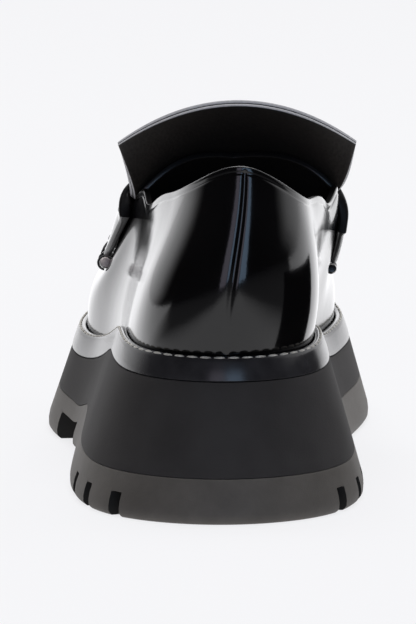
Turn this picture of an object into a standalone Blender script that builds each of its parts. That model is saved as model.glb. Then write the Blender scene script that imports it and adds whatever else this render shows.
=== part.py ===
"""Lug-soled tassel loafer for the left foot, as separate named pieces.

Metres, +Z up, +Y towards the toe, +X towards the inner side of the foot.
The shoe stands on the plane z = 0, with the origin under the middle of its sole.
"""

import math

import bmesh
import bpy
import numpy as np
from mathutils import Matrix, Vector

# The last: foot length, width across the ball, back height of the collar above the sole
LAST_LENGTH = 0.248
BALL_WIDTH = 0.084
BACK_HEIGHT = 0.0678
LEATHER = 0.002
GAP = 0.0003

# The sole: height of the seat under the upper at heel and ball, toe spring, arch
HEEL_SEAT = 0.0445
BALL_SEAT = 0.0277
SEAT_FALL_FROM = 0.050
SEAT_FALL_TO = 0.155
TOE_LIFT_FROM = 0.186
TOE_LIFT = 0.0095
ARCH_FROM = 0.066
ARCH_TO = 0.132
ARCH_RISE = 0.0045
OUTSOLE_THICK = 0.0145
SOLE_FLARE_OUTER = 0.340
SOLE_FLARE_INNER = 0.280
INSOLE_THICK = 0.003
INSOLE_CLEAR = 0.0005

# The welt that runs around the foot of the upper
WELT_WIDTH = 0.0048
WELT_HEIGHT = 0.0076
WELT_PROFILE_COLUMNS = ("name", "out", "up")
WELT_PROFILE = (
    ("inner_foot", 0.00, 0.00),
    ("inner_top", 0.00, 0.96),
    ("crest", 0.36, 1.00),
    ("shoulder", 0.58, 0.90),
    ("face", 0.94, 0.24),
    ("outer_foot", 1.00, 0.00),
)

# The edge of the outsole, from its top to the tread: height above the tread, step inwards
OUTSOLE_EDGE_COLUMNS = ("name", "height", "inset")
OUTSOLE_EDGE = (
    ("top", OUTSOLE_THICK - GAP, 0.0),
    ("shoulder", 0.0052, 0.0),
    ("round", 0.0015, 0.0009),
    ("tread", 0.0, 0.0028),
)

# Notches between the lugs, walked along each edge from the heel or toe middle: a plain stretch,
# then an even pitch. The long one lies behind the tread of the forefoot, on the outer side only.
LUG_COLUMNS = (
    "zone", "plain_outer", "plain_inner", "pitch", "count_outer", "count_inner", "width", "height", "depth",
)
LUGS = (
    ("heel", 0.0416, 0.0466, 0.0190, 3, 3, 0.0046, 0.0078, 0.0090),
    ("toe", 0.0240, 0.0240, 0.0205, 5, 4, 0.0070, 0.0088, 0.0100),
    ("waist", 0.1595, 0.0, 0.0, 1, 0, 0.0305, 0.0088, 0.0100),
)
GROOVE_WIDTH = 0.0045
GROOVE_DEPTH = 0.0040
GROOVE_END = 0.004

# Sections around the last, from the heel along the outer side to the toe and back.
# along: share of LAST_LENGTH; across: share of BALL_WIDTH, inner side positive;
# rise: rim above the seat, share of BACK_HEIGHT; lean: slope of the wall at the rim in degrees;
# roll: slope of the apron at the rim; swell: how far the wall pushes out, share of BALL_WIDTH.
# The rim is the collar edge behind the throat and the apron seam in front of it.
SECTION_COLUMNS = (
    "name", "foot_along", "foot_across", "rim_along", "rim_across", "rise", "lean", "roll", "swell",
)
SECTIONS = (
    ("heel_back", 0.000, 0.000, 0.018, 0.072, 1.005, 80, 80, 0.085),
    ("heel_round_outer", 0.038, -0.240, 0.052, -0.098, 0.930, 80, 80, 0.055),
    ("heel_outer", 0.149, -0.354, 0.147, -0.190, 0.820, 81, 76, -0.015),
    ("quarter_outer", 0.290, -0.368, 0.266, -0.250, 0.748, 86, 68, -0.025),
    ("waist_outer", 0.423, -0.390, 0.383, -0.284, 0.776, 87, 56, -0.020),
    ("throat_outer", 0.532, -0.436, 0.450, -0.308, 0.872, 84, 46, -0.020),
    ("ball_outer", 0.645, -0.500, 0.565, -0.392, 0.572, 68, 54, -0.010),
    ("vamp_outer", 0.746, -0.490, 0.677, -0.402, 0.474, 56, 50, 0.010),
    ("toe_outer", 0.855, -0.414, 0.806, -0.352, 0.426, 43, 41, 0.045),
    ("toe_round_outer", 0.957, -0.228, 0.906, -0.190, 0.369, 34, 34, 0.062),
    ("toe_tip", 1.000, 0.042, 0.945, 0.046, 0.348, 32, 32, 0.064),
    ("toe_round_inner", 0.964, 0.296, 0.916, 0.256, 0.371, 34, 34, 0.062),
    ("toe_inner", 0.879, 0.446, 0.831, 0.384, 0.431, 43, 41, 0.045),
    ("ball_inner", 0.750, 0.500, 0.694, 0.428, 0.494, 60, 50, 0.004),
    ("instep_inner", 0.637, 0.450, 0.573, 0.436, 0.586, 74, 56, -0.006),
    ("throat_inner", 0.524, 0.378, 0.454, 0.477, 0.879, 84, 50, 0.010),
    ("waist_inner", 0.419, 0.340, 0.383, 0.444, 0.774, 88, 60, 0.008),
    ("quarter_inner", 0.290, 0.344, 0.266, 0.400, 0.748, 90, 70, 0.010),
    ("heel_inner", 0.149, 0.348, 0.147, 0.338, 0.782, 84, 76, 0.045),
    ("heel_round_inner", 0.038, 0.240, 0.052, 0.256, 0.880, 80, 80, 0.070),
)
THROAT_OUTER = 5
TOE_TIP = 10
THROAT_INNER = 15

# Middle line of the vamp from the throat to the toe: height above the floor
RIDGE_COLUMNS = ("name", "share", "along", "across", "height")
RIDGE = (
    ("throat", 0.00, 0.500, 0.070, 0.1000),
    ("instep", 0.20, 0.597, 0.050, 0.0886),
    ("vamp", 0.40, 0.693, 0.038, 0.0792),
    ("toe_box", 0.60, 0.778, 0.038, 0.0728),
    ("toe_fall", 0.80, 0.831, 0.041, 0.0695),
    ("toe_end", 1.00, 0.863, 0.042, 0.0677),
)

# How finely the last is cut into columns and rows
REAR_COLUMNS = 18
FRONT_COLUMNS = 18
END_CROWDING = 1.25
WALL_ROWS = 8
APRON_ROWS = 6

# The tongue: rows seated on the vamp (share from throat to toe, reach to either side),
# then its free top edge
TONGUE_THICK = 0.0026
TONGUE_LIFT = 0.0006
TONGUE_SEAT_COLUMNS = ("name", "share", "reach")
TONGUE_SEATS = (
    ("front", 0.165, 0.58),
    ("under_strap", 0.095, 0.88),
    ("throat", 0.022, 1.00),
)
TONGUE_TOP_ALONG = 0.0985
TONGUE_TOP_HEIGHT = 0.1190
TONGUE_TOP_ACROSS = 0.0064
TONGUE_TOP_HALF_WIDTH = 0.0393
TONGUE_TOP_DROP = 0.0135
TONGUE_TOP_SWEEP = 0.004
TONGUE_ACROSS = 14
TONGUE_ROWS = 9

# The saddle strap: how far along its rear and front edges lie, in the middle and at its ends
STRAP_THICK = 0.0024
STRAP_REAR_MIDDLE = 0.1255
STRAP_REAR_END = 0.1165
STRAP_FRONT_MIDDLE = 0.1500
STRAP_FRONT_END = 0.1420
STRAP_REACH_OUTER = 1.12
STRAP_REACH_INNER = 1.28
STRAP_ACROSS = 22
STRAP_ROWS = 6

# The tassels and the rolled knot they hang from
TASSEL_COLUMNS = ("name", "along", "radius")
TASSEL_PROFILE = (
    ("top", 0.0000, 0.0024),
    ("bead", 0.0012, 0.0042),
    ("bead_wide", 0.0042, 0.0050),
    ("bead_low", 0.0072, 0.0042),
    ("neck", 0.0084, 0.0037),
    ("shoulder", 0.0104, 0.0054),
    ("skirt", 0.0210, 0.0070),
    ("hem", 0.0350, 0.0079),
)
TASSEL_FLATNESS = 0.56
TASSEL_STEPS = 16
TASSEL_LIFT = 0.0005
TASSEL_SHARES = (0.279, 0.500)
TASSEL_SPREADS = (0.15, 0.33)
KNOT_LENGTH = 0.0180
KNOT_RADIUS = 0.0029
KNOT_SHARE = 0.244
KNOT_LIFT = 0.0004

COLLECTION = "tassel_loafer"


def spline_through(knots, values, period=None):
    """Cubic curve through the values at the knots, closed over a period or with free ends."""
    knots = np.asarray(knots, float)
    values = np.asarray(values, float)
    if period is not None:
        knots = np.append(knots, knots[0] + period)
        values = np.append(values, values[:1], axis=0)
    count = len(knots)
    steps = np.diff(knots)
    slopes = np.diff(values, axis=0) / steps[:, None]
    system = np.zeros((count, count))
    right = np.zeros((count, values.shape[1]))
    for i in range(1, count - 1):
        system[i, i - 1] = steps[i - 1]
        system[i, i] = 2 * (steps[i - 1] + steps[i])
        system[i, i + 1] = steps[i]
        right[i] = 6 * (slopes[i] - slopes[i - 1])
    system[0, 0] = 1
    if period is None:
        system[-1, -1] = 1
    else:
        system[0, -1] = -1
        system[-1, 0] = 2 * steps[0]
        system[-1, 1] = steps[0]
        system[-1, -2] = steps[-1]
        system[-1, -1] = 2 * steps[-1]
        right[-1] = 6 * (slopes[0] - slopes[-1])
    bends = np.linalg.solve(system, right)

    def at(place):
        if period is not None:
            place = knots[0] + (place - knots[0]) % period
        i = int(np.clip(np.searchsorted(knots, place, side="right") - 1, 0, count - 2))
        far = (knots[i + 1] - place) / steps[i]
        near = 1 - far
        bend = (far**3 - far) * bends[i] + (near**3 - near) * bends[i + 1]
        return far * values[i] + near * values[i + 1] + bend * steps[i] ** 2 / 6

    return at


def smoothstep(share):
    share = min(max(share, 0.0), 1.0)
    return share * share * (3 - 2 * share)


def bezier(start, start_handle, end_handle, end, share):
    rest = 1 - share
    return (
        start * rest**3
        + start_handle * (3 * rest * rest * share)
        + end_handle * (3 * rest * share * share)
        + end * share**3
    )


def seat_height(along):
    """Height of the seat that the upper stands on."""
    fall = smoothstep((along - SEAT_FALL_FROM) / (SEAT_FALL_TO - SEAT_FALL_FROM))
    lift = max(along - TOE_LIFT_FROM, 0.0) / (LAST_LENGTH - TOE_LIFT_FROM)
    return HEEL_SEAT + (BALL_SEAT - HEEL_SEAT) * fall + TOE_LIFT * lift * lift


def tread_height(along):
    """Height of the tread: flat at heel and ball, raised at the arch and the toe."""
    arch = min(max((along - ARCH_FROM) / (ARCH_TO - ARCH_FROM), 0.0), 1.0)
    lift = max(along - TOE_LIFT_FROM, 0.0) / (LAST_LENGTH - TOE_LIFT_FROM)
    return ARCH_RISE * math.sin(math.pi * arch) ** 2 + TOE_LIFT * lift * lift


FEET = [(row[2] * BALL_WIDTH, row[1] * LAST_LENGTH) for row in SECTIONS]
KNOTS = [0.0]
for before, after in zip(FEET, FEET[1:]):
    KNOTS.append(KNOTS[-1] + math.dist(before, after))
ROUND = KNOTS[-1] + math.dist(FEET[-1], FEET[0])
SECTION_AT = spline_through(KNOTS, [row[1:] for row in SECTIONS], ROUND)
RIDGE_AT = spline_through([row[1] for row in RIDGE], [row[2:] for row in RIDGE])


def foot_point(place):
    """Where the wall of the upper meets the seat, on its outer face."""
    along, across = SECTION_AT(place)[:2]
    along *= LAST_LENGTH
    return Vector((across * BALL_WIDTH, along, seat_height(along)))


def rim_point(place):
    """The collar edge, or in front of the throat the apron seam."""
    row = SECTION_AT(place)
    seat = seat_height(row[0] * LAST_LENGTH)
    return Vector((row[3] * BALL_WIDTH, row[2] * LAST_LENGTH, seat + row[4] * BACK_HEIGHT))


def outward(point_at, place):
    """Level direction that points out of the shoe, square to a curve around it."""
    step = ROUND / 2000
    run = point_at(place + step) - point_at(place - step)
    return Vector((-run.y, run.x, 0.0)).normalized()


def ridge_point(share):
    along, across, height = RIDGE_AT(min(max(share, 0.0), 1.0))
    return Vector((across * BALL_WIDTH, along * LAST_LENGTH, height))


def vamp_share(place):
    """Share of the way from the throat (0) to the toe tip (1), on either side."""
    place = place % ROUND
    if place <= KNOTS[TOE_TIP]:
        return (place - KNOTS[THROAT_OUTER]) / (KNOTS[TOE_TIP] - KNOTS[THROAT_OUTER])
    return (KNOTS[THROAT_INNER] - place) / (KNOTS[THROAT_INNER] - KNOTS[TOE_TIP])


def place_on_side(side, share):
    """Place around the last for a share of the vamp, side -1 outer and +1 inner."""
    if side < 0:
        return KNOTS[THROAT_OUTER] + share * (KNOTS[TOE_TIP] - KNOTS[THROAT_OUTER])
    return KNOTS[THROAT_INNER] - share * (KNOTS[THROAT_INNER] - KNOTS[TOE_TIP])


def skin(place, level):
    """Outer face of the upper: level 0 to 1 from seat to rim, 1 to 2 from rim to ridge."""
    row = SECTION_AT(place)
    slope = math.radians(row[5] if level <= 1 else row[6])
    foot = foot_point(place)
    rim = rim_point(place)
    turn = Vector((0, 0, math.sin(slope))) - outward(rim_point, place) * math.cos(slope)
    if level <= 1:
        start = foot + Vector((0, 0, WELT_HEIGHT))
        reach = (rim - start).length
        push = outward(foot_point, place) * (row[7] * BALL_WIDTH)
        start_handle = start + push + Vector((0, 0, 0.38 * reach))
        return bezier(start, start_handle, rim - turn * (0.36 * reach), rim, level)
    share = vamp_share(place)
    ridge = ridge_point(share)
    span = (ridge - rim).length
    fall = ridge_point(share + 0.01) - ridge_point(share - 0.01)
    level_run = Vector((ridge.x - rim.x, ridge.y - rim.y, 0.0)).normalized()
    arrive = level_run + Vector((0, 0, level_run.y * fall.z / fall.y))
    return bezier(rim, rim + turn * (0.38 * span), ridge - arrive * (0.45 * span), ridge, level - 1)


def skin_normal(place, level):
    """Direction out of the upper's outer face."""
    step = ROUND / 1500
    level = min(level, 1.999)
    along = skin(place + step, level) - skin(place - step, level)
    up = skin(place, level + 0.0005) - skin(place, level - 0.0005)
    return up.cross(along).normalized()


def over_vamp(across, share, lift):
    """A point held off the vamp: across runs from -1 at the outer rim to 1 at the inner rim."""
    side = -1 if across < 0 else 1
    place = place_on_side(side, share)
    level = 2 - abs(across)
    if abs(across) < 0.02:
        outer = skin_normal(place_on_side(-1, share), 1.98)
        inner = skin_normal(place_on_side(1, share), 1.98)
        return ridge_point(share) + (outer + inner).normalized() * lift
    return skin(place, level) + skin_normal(place, level) * lift


def share_along(across, along):
    """Share of the vamp at which a line across it lies a given distance from the heel."""
    low, high = 0.0, 0.6
    for _ in range(40):
        middle = (low + high) / 2
        if skin(place_on_side(across, middle), 2 - abs(across)).y < along:
            low = middle
        else:
            high = middle
    return middle


def columns():
    """Places around the last, heel first, crowded towards heel and toe."""
    rear = [(k / REAR_COLUMNS) ** END_CROWDING for k in range(REAR_COLUMNS)]
    front = [1 - (1 - k / FRONT_COLUMNS) ** END_CROWDING for k in range(FRONT_COLUMNS + 1)]
    outer = [share * KNOTS[THROAT_OUTER] for share in rear]
    outer += [place_on_side(-1, share) for share in front]
    inner = [place_on_side(1, share) for share in reversed(front[:-1])]
    inner += [ROUND - share * (ROUND - KNOTS[THROAT_INNER]) for share in reversed(rear[1:])]
    return outer + inner


PLACES = columns()


def sole_ring(out, height):
    """Closed ring of points, stepped out from the foot of the upper, at a height for each."""
    ring = []
    for place in PLACES:
        foot = foot_point(place)
        side = outward(foot_point, place)
        lift = height(foot.y)
        ring.append(foot + side * out(foot, side, lift) + Vector((0, 0, lift - foot.z)))
    return ring


def flared(foot, out, height):
    """How far the sole stands out from the foot of the upper at a height."""
    inner = (1 + out.x) / 2
    flare = SOLE_FLARE_OUTER + (SOLE_FLARE_INNER - SOLE_FLARE_OUTER) * inner
    return GAP + WELT_WIDTH + (foot.z - height) * flare


def loft(bm, rows, closed):
    """Skins successive rows of points with quads; returns the rows as vertices."""
    made = [[bm.verts.new(point) for point in row] for row in rows]
    for lower, upper in zip(made, made[1:]):
        count = len(lower)
        for i in range(count if closed else count - 1):
            j = (i + 1) % count
            bm.faces.new((lower[i], upper[i], upper[j], lower[j]))
    return made


def ladder_cap(bm, ring):
    """Closes a ring with rungs from its outer to its inner side, heel to toe."""
    half = len(ring) // 2
    for i in range(half):
        rung = (ring[-i] if i else ring[0], ring[i], ring[i + 1], ring[-i - 1])
        bm.faces.new(tuple(dict.fromkeys(rung)))


def finish_mesh(name, bm, merge=0.00001, recalc=True):
    bmesh.ops.remove_doubles(bm, verts=bm.verts, dist=merge)
    if recalc:
        bmesh.ops.recalc_face_normals(bm, faces=bm.faces)
    mesh = bpy.data.meshes.new(name)
    bm.to_mesh(mesh)
    bm.free()
    return bpy.data.objects.new(name, mesh)


def sole_solid(name, rings):
    """A solid between rings that run from its bottom to its top."""
    bm = bmesh.new()
    made = loft(bm, rings, closed=True)
    ladder_cap(bm, made[0])
    ladder_cap(bm, made[-1])
    return finish_mesh(name, bm)


def thicken(thing, thickness, side):
    """Gives an open surface its thickness: side -1 inwards, 1 outwards."""
    shell = thing.modifiers.new("leather", "SOLIDIFY")
    shell.thickness = thickness
    shell.offset = side
    shell.use_even_offset = True
    return thing


def box_cutter(bm, centre, direction, length, width, height):
    """A box with its length along a level direction, its foot at the centre's height."""
    turn = math.atan2(direction.y, direction.x)
    made = bmesh.ops.create_cube(bm, size=1.0)
    scale = Matrix.Diagonal((length, width, height, 1))
    lift = Matrix.Translation(centre + Vector((0, 0, height / 2)))
    place = lift @ Matrix.Rotation(turn, 4, "Z") @ scale
    bmesh.ops.transform(bm, matrix=place, verts=made["verts"])


def edge_walk(ring):
    """Walks a ring from its first point: (point, outward direction) at a distance."""
    flat = np.array([(p.x, p.y) for p in ring + ring[:1]])
    run = np.append(0.0, np.cumsum(np.linalg.norm(np.diff(flat, axis=0), axis=1)))

    def at(distance):
        def spot(d):
            d = d % run[-1]
            return np.array([np.interp(d, run, flat[:, 0]), np.interp(d, run, flat[:, 1])])

        ahead = spot(distance + 0.002) - spot(distance - 0.002)
        x, y = spot(distance)
        return Vector((x, y, 0.0)), Vector((-ahead[1], ahead[0], 0.0)).normalized()

    toe = run[len(ring) // 2]
    return at, toe, run[-1]


def build_outsole(cutters):
    rings = []
    for _, above, inset in reversed(OUTSOLE_EDGE):
        rings.append(
            sole_ring(
                lambda foot, side, height: flared(foot, side, height) - inset,
                lambda along: tread_height(along) + above,
            )
        )
    sole = sole_solid("outsole", rings)

    walk, toe, whole = edge_walk(rings[1])
    notches = bmesh.new()
    grooves = bmesh.new()
    for zone, plain_outer, plain_inner, pitch, count_outer, count_inner, width, height, depth in LUGS:
        start, ahead = (0.0, 1) if zone == "heel" else (toe, -1)
        ends = []
        for plain, count, side in ((plain_outer, count_outer, 1), (plain_inner, count_inner, -1)):
            for k in range(count):
                edge, out = walk(start + ahead * side * (plain + k * pitch))
                edge.z = -0.001
                length = depth + 0.006
                box_cutter(notches, edge - out * (depth - length / 2), out, length, width,
                           height + tread_height(edge.y) + 0.001)
                ends.append(edge - out * (depth + GROOVE_END))
        for outer_end, inner_end in zip(ends[:count_outer], ends[count_outer:]):
            run = inner_end - outer_end
            middle = (outer_end + inner_end) / 2
            box_cutter(grooves, middle, run, run.length, GROOVE_WIDTH,
                       GROOVE_DEPTH + tread_height(middle.y) + 0.001)
    for name, bm in (("lug_notches", notches), ("tread_grooves", grooves)):
        cutter = finish_mesh(name, bm, merge=0.0000001)
        cutter.hide_render = True
        cutter.display_type = "WIRE"
        cutters.objects.link(cutter)
        cut = sole.modifiers.new(name, "BOOLEAN")
        cut.operation = "DIFFERENCE"
        cut.solver = "EXACT"
        cut.object = cutter
    return sole


def build_midsole():
    rings = [
        sole_ring(flared, lambda along: tread_height(along) + OUTSOLE_THICK),
        sole_ring(flared, lambda along: (tread_height(along) + OUTSOLE_THICK + seat_height(along)) / 2),
        sole_ring(flared, lambda along: seat_height(along) - GAP),
    ]
    return sole_solid("midsole", rings)


def build_welt():
    rings = []
    for _, out, up in WELT_PROFILE:
        rings.append(
            sole_ring(
                lambda foot, side, height: GAP + out * WELT_WIDTH,
                lambda along: seat_height(along) + up * WELT_HEIGHT,
            )
        )
    bm = bmesh.new()
    loft(bm, rings + rings[:1], closed=True)
    return finish_mesh("welt", bm)


def build_insole():
    inset = LEATHER + INSOLE_CLEAR
    rings = [
        sole_ring(lambda foot, side, height: -inset, seat_height),
        sole_ring(lambda foot, side, height: -inset, lambda along: seat_height(along) + INSOLE_THICK),
    ]
    return sole_solid("insole", rings)


def build_upper():
    """Wall rows run around the whole shoe, apron rows from the outer throat to the inner."""
    bm = bmesh.new()
    wall = [[foot_point(place) for place in PLACES]]
    for k in range(WALL_ROWS + 1):
        wall.append([skin(place, k / WALL_ROWS) for place in PLACES])
    loft(bm, wall, closed=True)
    front = PLACES[REAR_COLUMNS:REAR_COLUMNS + 2 * FRONT_COLUMNS + 1]
    apron = [[skin(place, 1 + k / APRON_ROWS) for place in front] for k in range(APRON_ROWS + 1)]
    loft(bm, apron, closed=False)
    return thicken(finish_mesh("upper", bm, recalc=False), LEATHER, -1)


def build_tongue():
    """Seated rows follow the vamp, then the flap stands free up to its top edge."""
    lines = []
    for k in range(TONGUE_ACROSS + 1):
        across = 1 - 2 * k / TONGUE_ACROSS
        marks = [over_vamp(across * reach, share, TONGUE_LIFT) for _, share, reach in TONGUE_SEATS]
        marks.append(Vector((
            TONGUE_TOP_ACROSS + across * TONGUE_TOP_HALF_WIDTH,
            TONGUE_TOP_ALONG + TONGUE_TOP_SWEEP * across**2,
            TONGUE_TOP_HEIGHT - TONGUE_TOP_DROP * across**2,
        )))
        run = [0.0]
        for before, after in zip(marks, marks[1:]):
            run.append(run[-1] + (after - before).length)
        line = spline_through(run, marks)
        lines.append([Vector(line(run[-1] * r / TONGUE_ROWS)) for r in range(TONGUE_ROWS + 1)])
    bm = bmesh.new()
    loft(bm, lines, closed=False)
    return thicken(finish_mesh("tongue", bm, recalc=False), TONGUE_THICK, 1)


def build_strap():
    """Lies over the tongue in the middle and comes down to the upper at its ends."""
    over_tongue = TONGUE_LIFT + TONGUE_THICK + GAP * 1.5
    rows = []
    for k in range(STRAP_ACROSS + 1):
        across = 1 - 2 * k / STRAP_ACROSS
        end = across**2
        across *= STRAP_REACH_OUTER if across < 0 else STRAP_REACH_INNER
        rear = STRAP_REAR_MIDDLE + (STRAP_REAR_END - STRAP_REAR_MIDDLE) * end
        front = STRAP_FRONT_MIDDLE + (STRAP_FRONT_END - STRAP_FRONT_MIDDLE) * end
        row = []
        for r in range(STRAP_ROWS + 1):
            back = r / STRAP_ROWS
            share = share_along(across, front + (rear - front) * back)
            down = smoothstep((abs(across) - 0.74 - 0.23 * back) / (0.32 - 0.10 * back))
            lift = over_tongue + (GAP * 1.5 - over_tongue) * down
            row.append(over_vamp(across, share, lift))
        rows.append(row)
    bm = bmesh.new()
    loft(bm, rows, closed=False)
    return thicken(finish_mesh("saddle_strap", bm, recalc=False), STRAP_THICK, 1)


def build_tassel(name, side):
    """Bead and skirt turned about the tassel's own axis, pressed flat on the vamp."""
    lift = TASSEL_PROFILE[-1][2] * TASSEL_FLATNESS + TASSEL_LIFT
    top = over_vamp(side * TASSEL_SPREADS[0], TASSEL_SHARES[0], lift)
    hem = over_vamp(side * TASSEL_SPREADS[1], TASSEL_SHARES[1], lift)
    up = skin_normal(place_on_side(side, sum(TASSEL_SHARES) / 2), 2 - sum(TASSEL_SPREADS) / 2)
    down = (hem - top).normalized()
    sideways = down.cross(up).normalized()
    up = sideways.cross(down)

    bm = bmesh.new()
    line = [bm.verts.new((0, 0, 0))]
    line += [bm.verts.new((radius, 0, -along)) for _, along, radius in TASSEL_PROFILE]
    line.append(bm.verts.new((0, 0, -TASSEL_PROFILE[-1][1])))
    for before, after in zip(line, line[1:]):
        bm.edges.new((before, after))
    tassel = finish_mesh(name, bm, recalc=False)
    turn = tassel.modifiers.new("turn", "SCREW")
    turn.angle = math.tau
    turn.steps = TASSEL_STEPS
    turn.render_steps = TASSEL_STEPS
    turn.use_merge_vertices = True
    turn.use_normal_calculate = True
    turn.use_normal_flip = True
    turn.merge_threshold = 0.00001

    frame = Matrix.Identity(4)
    for axis, column in enumerate((sideways, up, -down)):
        frame.col[axis][:3] = column
    frame.translation = top
    tassel.matrix_world = frame @ Matrix.Diagonal((1, TASSEL_FLATNESS, 1, 1))
    return tassel


def build_knot():
    """Short roll that lies across the vamp in front of the strap."""
    bm = bmesh.new()
    bmesh.ops.create_cone(
        bm, cap_ends=True, segments=16, radius1=KNOT_RADIUS, radius2=KNOT_RADIUS, depth=KNOT_LENGTH
    )
    knot = finish_mesh("tassel_knot", bm)
    soft = knot.modifiers.new("soft_ends", "BEVEL")
    soft.width = KNOT_RADIUS * 0.4
    soft.segments = 2
    soft.limit_method = "ANGLE"
    spot = over_vamp(0.0, KNOT_SHARE, KNOT_RADIUS + KNOT_LIFT)
    knot.matrix_world = Matrix.Translation(spot) @ Matrix.Rotation(math.pi / 2, 4, "Y")
    return knot


def paint(thing, colour, roughness):
    material = bpy.data.materials.new(thing.name)
    material.use_nodes = True
    shader = material.node_tree.nodes["Principled BSDF"]
    shader.inputs["Base Color"].default_value = (*colour, 1.0)
    shader.inputs["Roughness"].default_value = roughness
    shader.inputs["Metallic"].default_value = 0.0
    thing.data.materials.append(material)


def clear_scene():
    for thing in list(bpy.data.objects):
        bpy.data.objects.remove(thing, do_unlink=True)


def new_collection(name):
    made = bpy.data.collections.new(name)
    bpy.context.scene.collection.children.link(made)
    return made


def build():
    clear_scene()
    shoe = new_collection(COLLECTION)
    cutters = new_collection("cutters")

    widest = sole_ring(
        flared,
        lambda along: tread_height(along) + OUTSOLE_EDGE[1][1],
    )
    middle = [(min(p[i] for p in widest) + max(p[i] for p in widest)) / 2 for i in (0, 1)]
    stand = bpy.data.objects.new("stand", None)
    stand.location = (-middle[0], -middle[1], 0.0)
    shoe.objects.link(stand)

    black = (0.004, 0.004, 0.004)
    pieces = (
        (build_outsole(cutters), (0.045, 0.041, 0.039), 0.75),
        (build_midsole(), (0.018, 0.017, 0.018), 0.7),
        (build_welt(), (0.006, 0.006, 0.006), 0.25),
        (build_insole(), (0.012, 0.011, 0.010), 0.6),
        (build_upper(), black, 0.16),
        (build_tongue(), black, 0.2),
        (build_strap(), black, 0.18),
        (build_knot(), black, 0.22),
        (build_tassel("tassel_outer", -1), black, 0.3),
        (build_tassel("tassel_inner", 1), black, 0.3),
    )
    for thing, colour, roughness in pieces:
        paint(thing, colour, roughness)
        shoe.objects.link(thing)
        thing.parent = stand
    for cutter in cutters.objects:
        cutter.parent = stand


build()
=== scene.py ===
"""Looks of the left tassel loafer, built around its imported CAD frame.

Metres, +Z up, +Y towards the toe, +X towards the inner side of the foot.
"""

import math

import bmesh
import bpy
import numpy as np
from mathutils import Matrix, Vector


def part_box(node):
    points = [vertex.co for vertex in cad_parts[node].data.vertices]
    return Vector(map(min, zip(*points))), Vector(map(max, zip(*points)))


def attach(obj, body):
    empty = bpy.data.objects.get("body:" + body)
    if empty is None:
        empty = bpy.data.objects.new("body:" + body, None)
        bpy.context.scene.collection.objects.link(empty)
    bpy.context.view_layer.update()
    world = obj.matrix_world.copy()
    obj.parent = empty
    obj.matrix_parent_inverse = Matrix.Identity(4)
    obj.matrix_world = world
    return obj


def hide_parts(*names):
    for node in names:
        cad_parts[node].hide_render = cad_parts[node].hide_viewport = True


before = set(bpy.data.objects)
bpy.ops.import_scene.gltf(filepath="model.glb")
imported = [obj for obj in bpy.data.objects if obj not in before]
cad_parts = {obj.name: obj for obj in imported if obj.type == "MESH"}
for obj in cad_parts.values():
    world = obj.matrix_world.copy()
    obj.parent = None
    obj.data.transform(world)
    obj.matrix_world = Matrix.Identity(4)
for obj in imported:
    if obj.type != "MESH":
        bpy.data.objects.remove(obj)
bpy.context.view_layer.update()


# Outsole: one piece of moulded charcoal rubber, its outline flared out from the last on which
# the shoe is made. Notches part its lugs, with a groove across the tread between each pair,
# the arch is raised and the toe springs up. It is cemented under the midsole.
LAST_LENGTH = 0.248
BALL_WIDTH = 0.084
GAP = 0.0003
HEEL_SEAT = 0.0445
BALL_SEAT = 0.0277
SEAT_FALL = (0.050, 0.155)
TOE_LIFT_FROM = 0.186
TOE_LIFT = 0.0095
ARCH = (0.066, 0.132)
ARCH_RISE = 0.0045
WELT_WIDTH = 0.0048
FLARE_OUTER = 0.340
FLARE_INNER = 0.280

# Sections of the last from the heel along the outer side to the toe and back: where the wall
# stands and where its rim lies (shares of length and ball width), rise, slopes of wall and
# apron at the rim in degrees, and swell of the wall
LAST_SECTIONS = (
    ("heel_back", 0.000, 0.000, 0.018, 0.072, 1.005, 80, 80, 0.085),
    ("heel_round_outer", 0.038, -0.240, 0.052, -0.098, 0.930, 80, 80, 0.055),
    ("heel_outer", 0.149, -0.354, 0.147, -0.190, 0.820, 81, 76, -0.015),
    ("quarter_outer", 0.290, -0.368, 0.266, -0.250, 0.748, 86, 68, -0.025),
    ("waist_outer", 0.423, -0.390, 0.383, -0.284, 0.776, 87, 56, -0.020),
    ("throat_outer", 0.532, -0.436, 0.450, -0.308, 0.872, 84, 46, -0.020),
    ("ball_outer", 0.645, -0.500, 0.565, -0.392, 0.572, 68, 54, -0.010),
    ("vamp_outer", 0.746, -0.490, 0.677, -0.402, 0.474, 56, 50, 0.010),
    ("toe_outer", 0.855, -0.414, 0.806, -0.352, 0.426, 43, 41, 0.045),
    ("toe_round_outer", 0.957, -0.228, 0.906, -0.190, 0.369, 34, 34, 0.062),
    ("toe_tip", 1.000, 0.042, 0.945, 0.046, 0.348, 32, 32, 0.064),
    ("toe_round_inner", 0.964, 0.296, 0.916, 0.256, 0.371, 34, 34, 0.062),
    ("toe_inner", 0.879, 0.446, 0.831, 0.384, 0.431, 43, 41, 0.045),
    ("ball_inner", 0.750, 0.500, 0.694, 0.428, 0.494, 60, 50, 0.004),
    ("instep_inner", 0.637, 0.450, 0.573, 0.436, 0.586, 74, 56, -0.006),
    ("throat_inner", 0.524, 0.378, 0.454, 0.477, 0.879, 84, 50, 0.010),
    ("waist_inner", 0.419, 0.340, 0.383, 0.444, 0.774, 88, 60, 0.008),
    ("quarter_inner", 0.290, 0.344, 0.266, 0.400, 0.748, 90, 70, 0.010),
    ("heel_inner", 0.149, 0.348, 0.147, 0.338, 0.782, 84, 76, 0.045),
    ("heel_round_inner", 0.038, 0.240, 0.052, 0.256, 0.880, 80, 80, 0.070),
)
THROAT_OUTER, TOE_TIP, THROAT_INNER = 5, 10, 15


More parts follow.
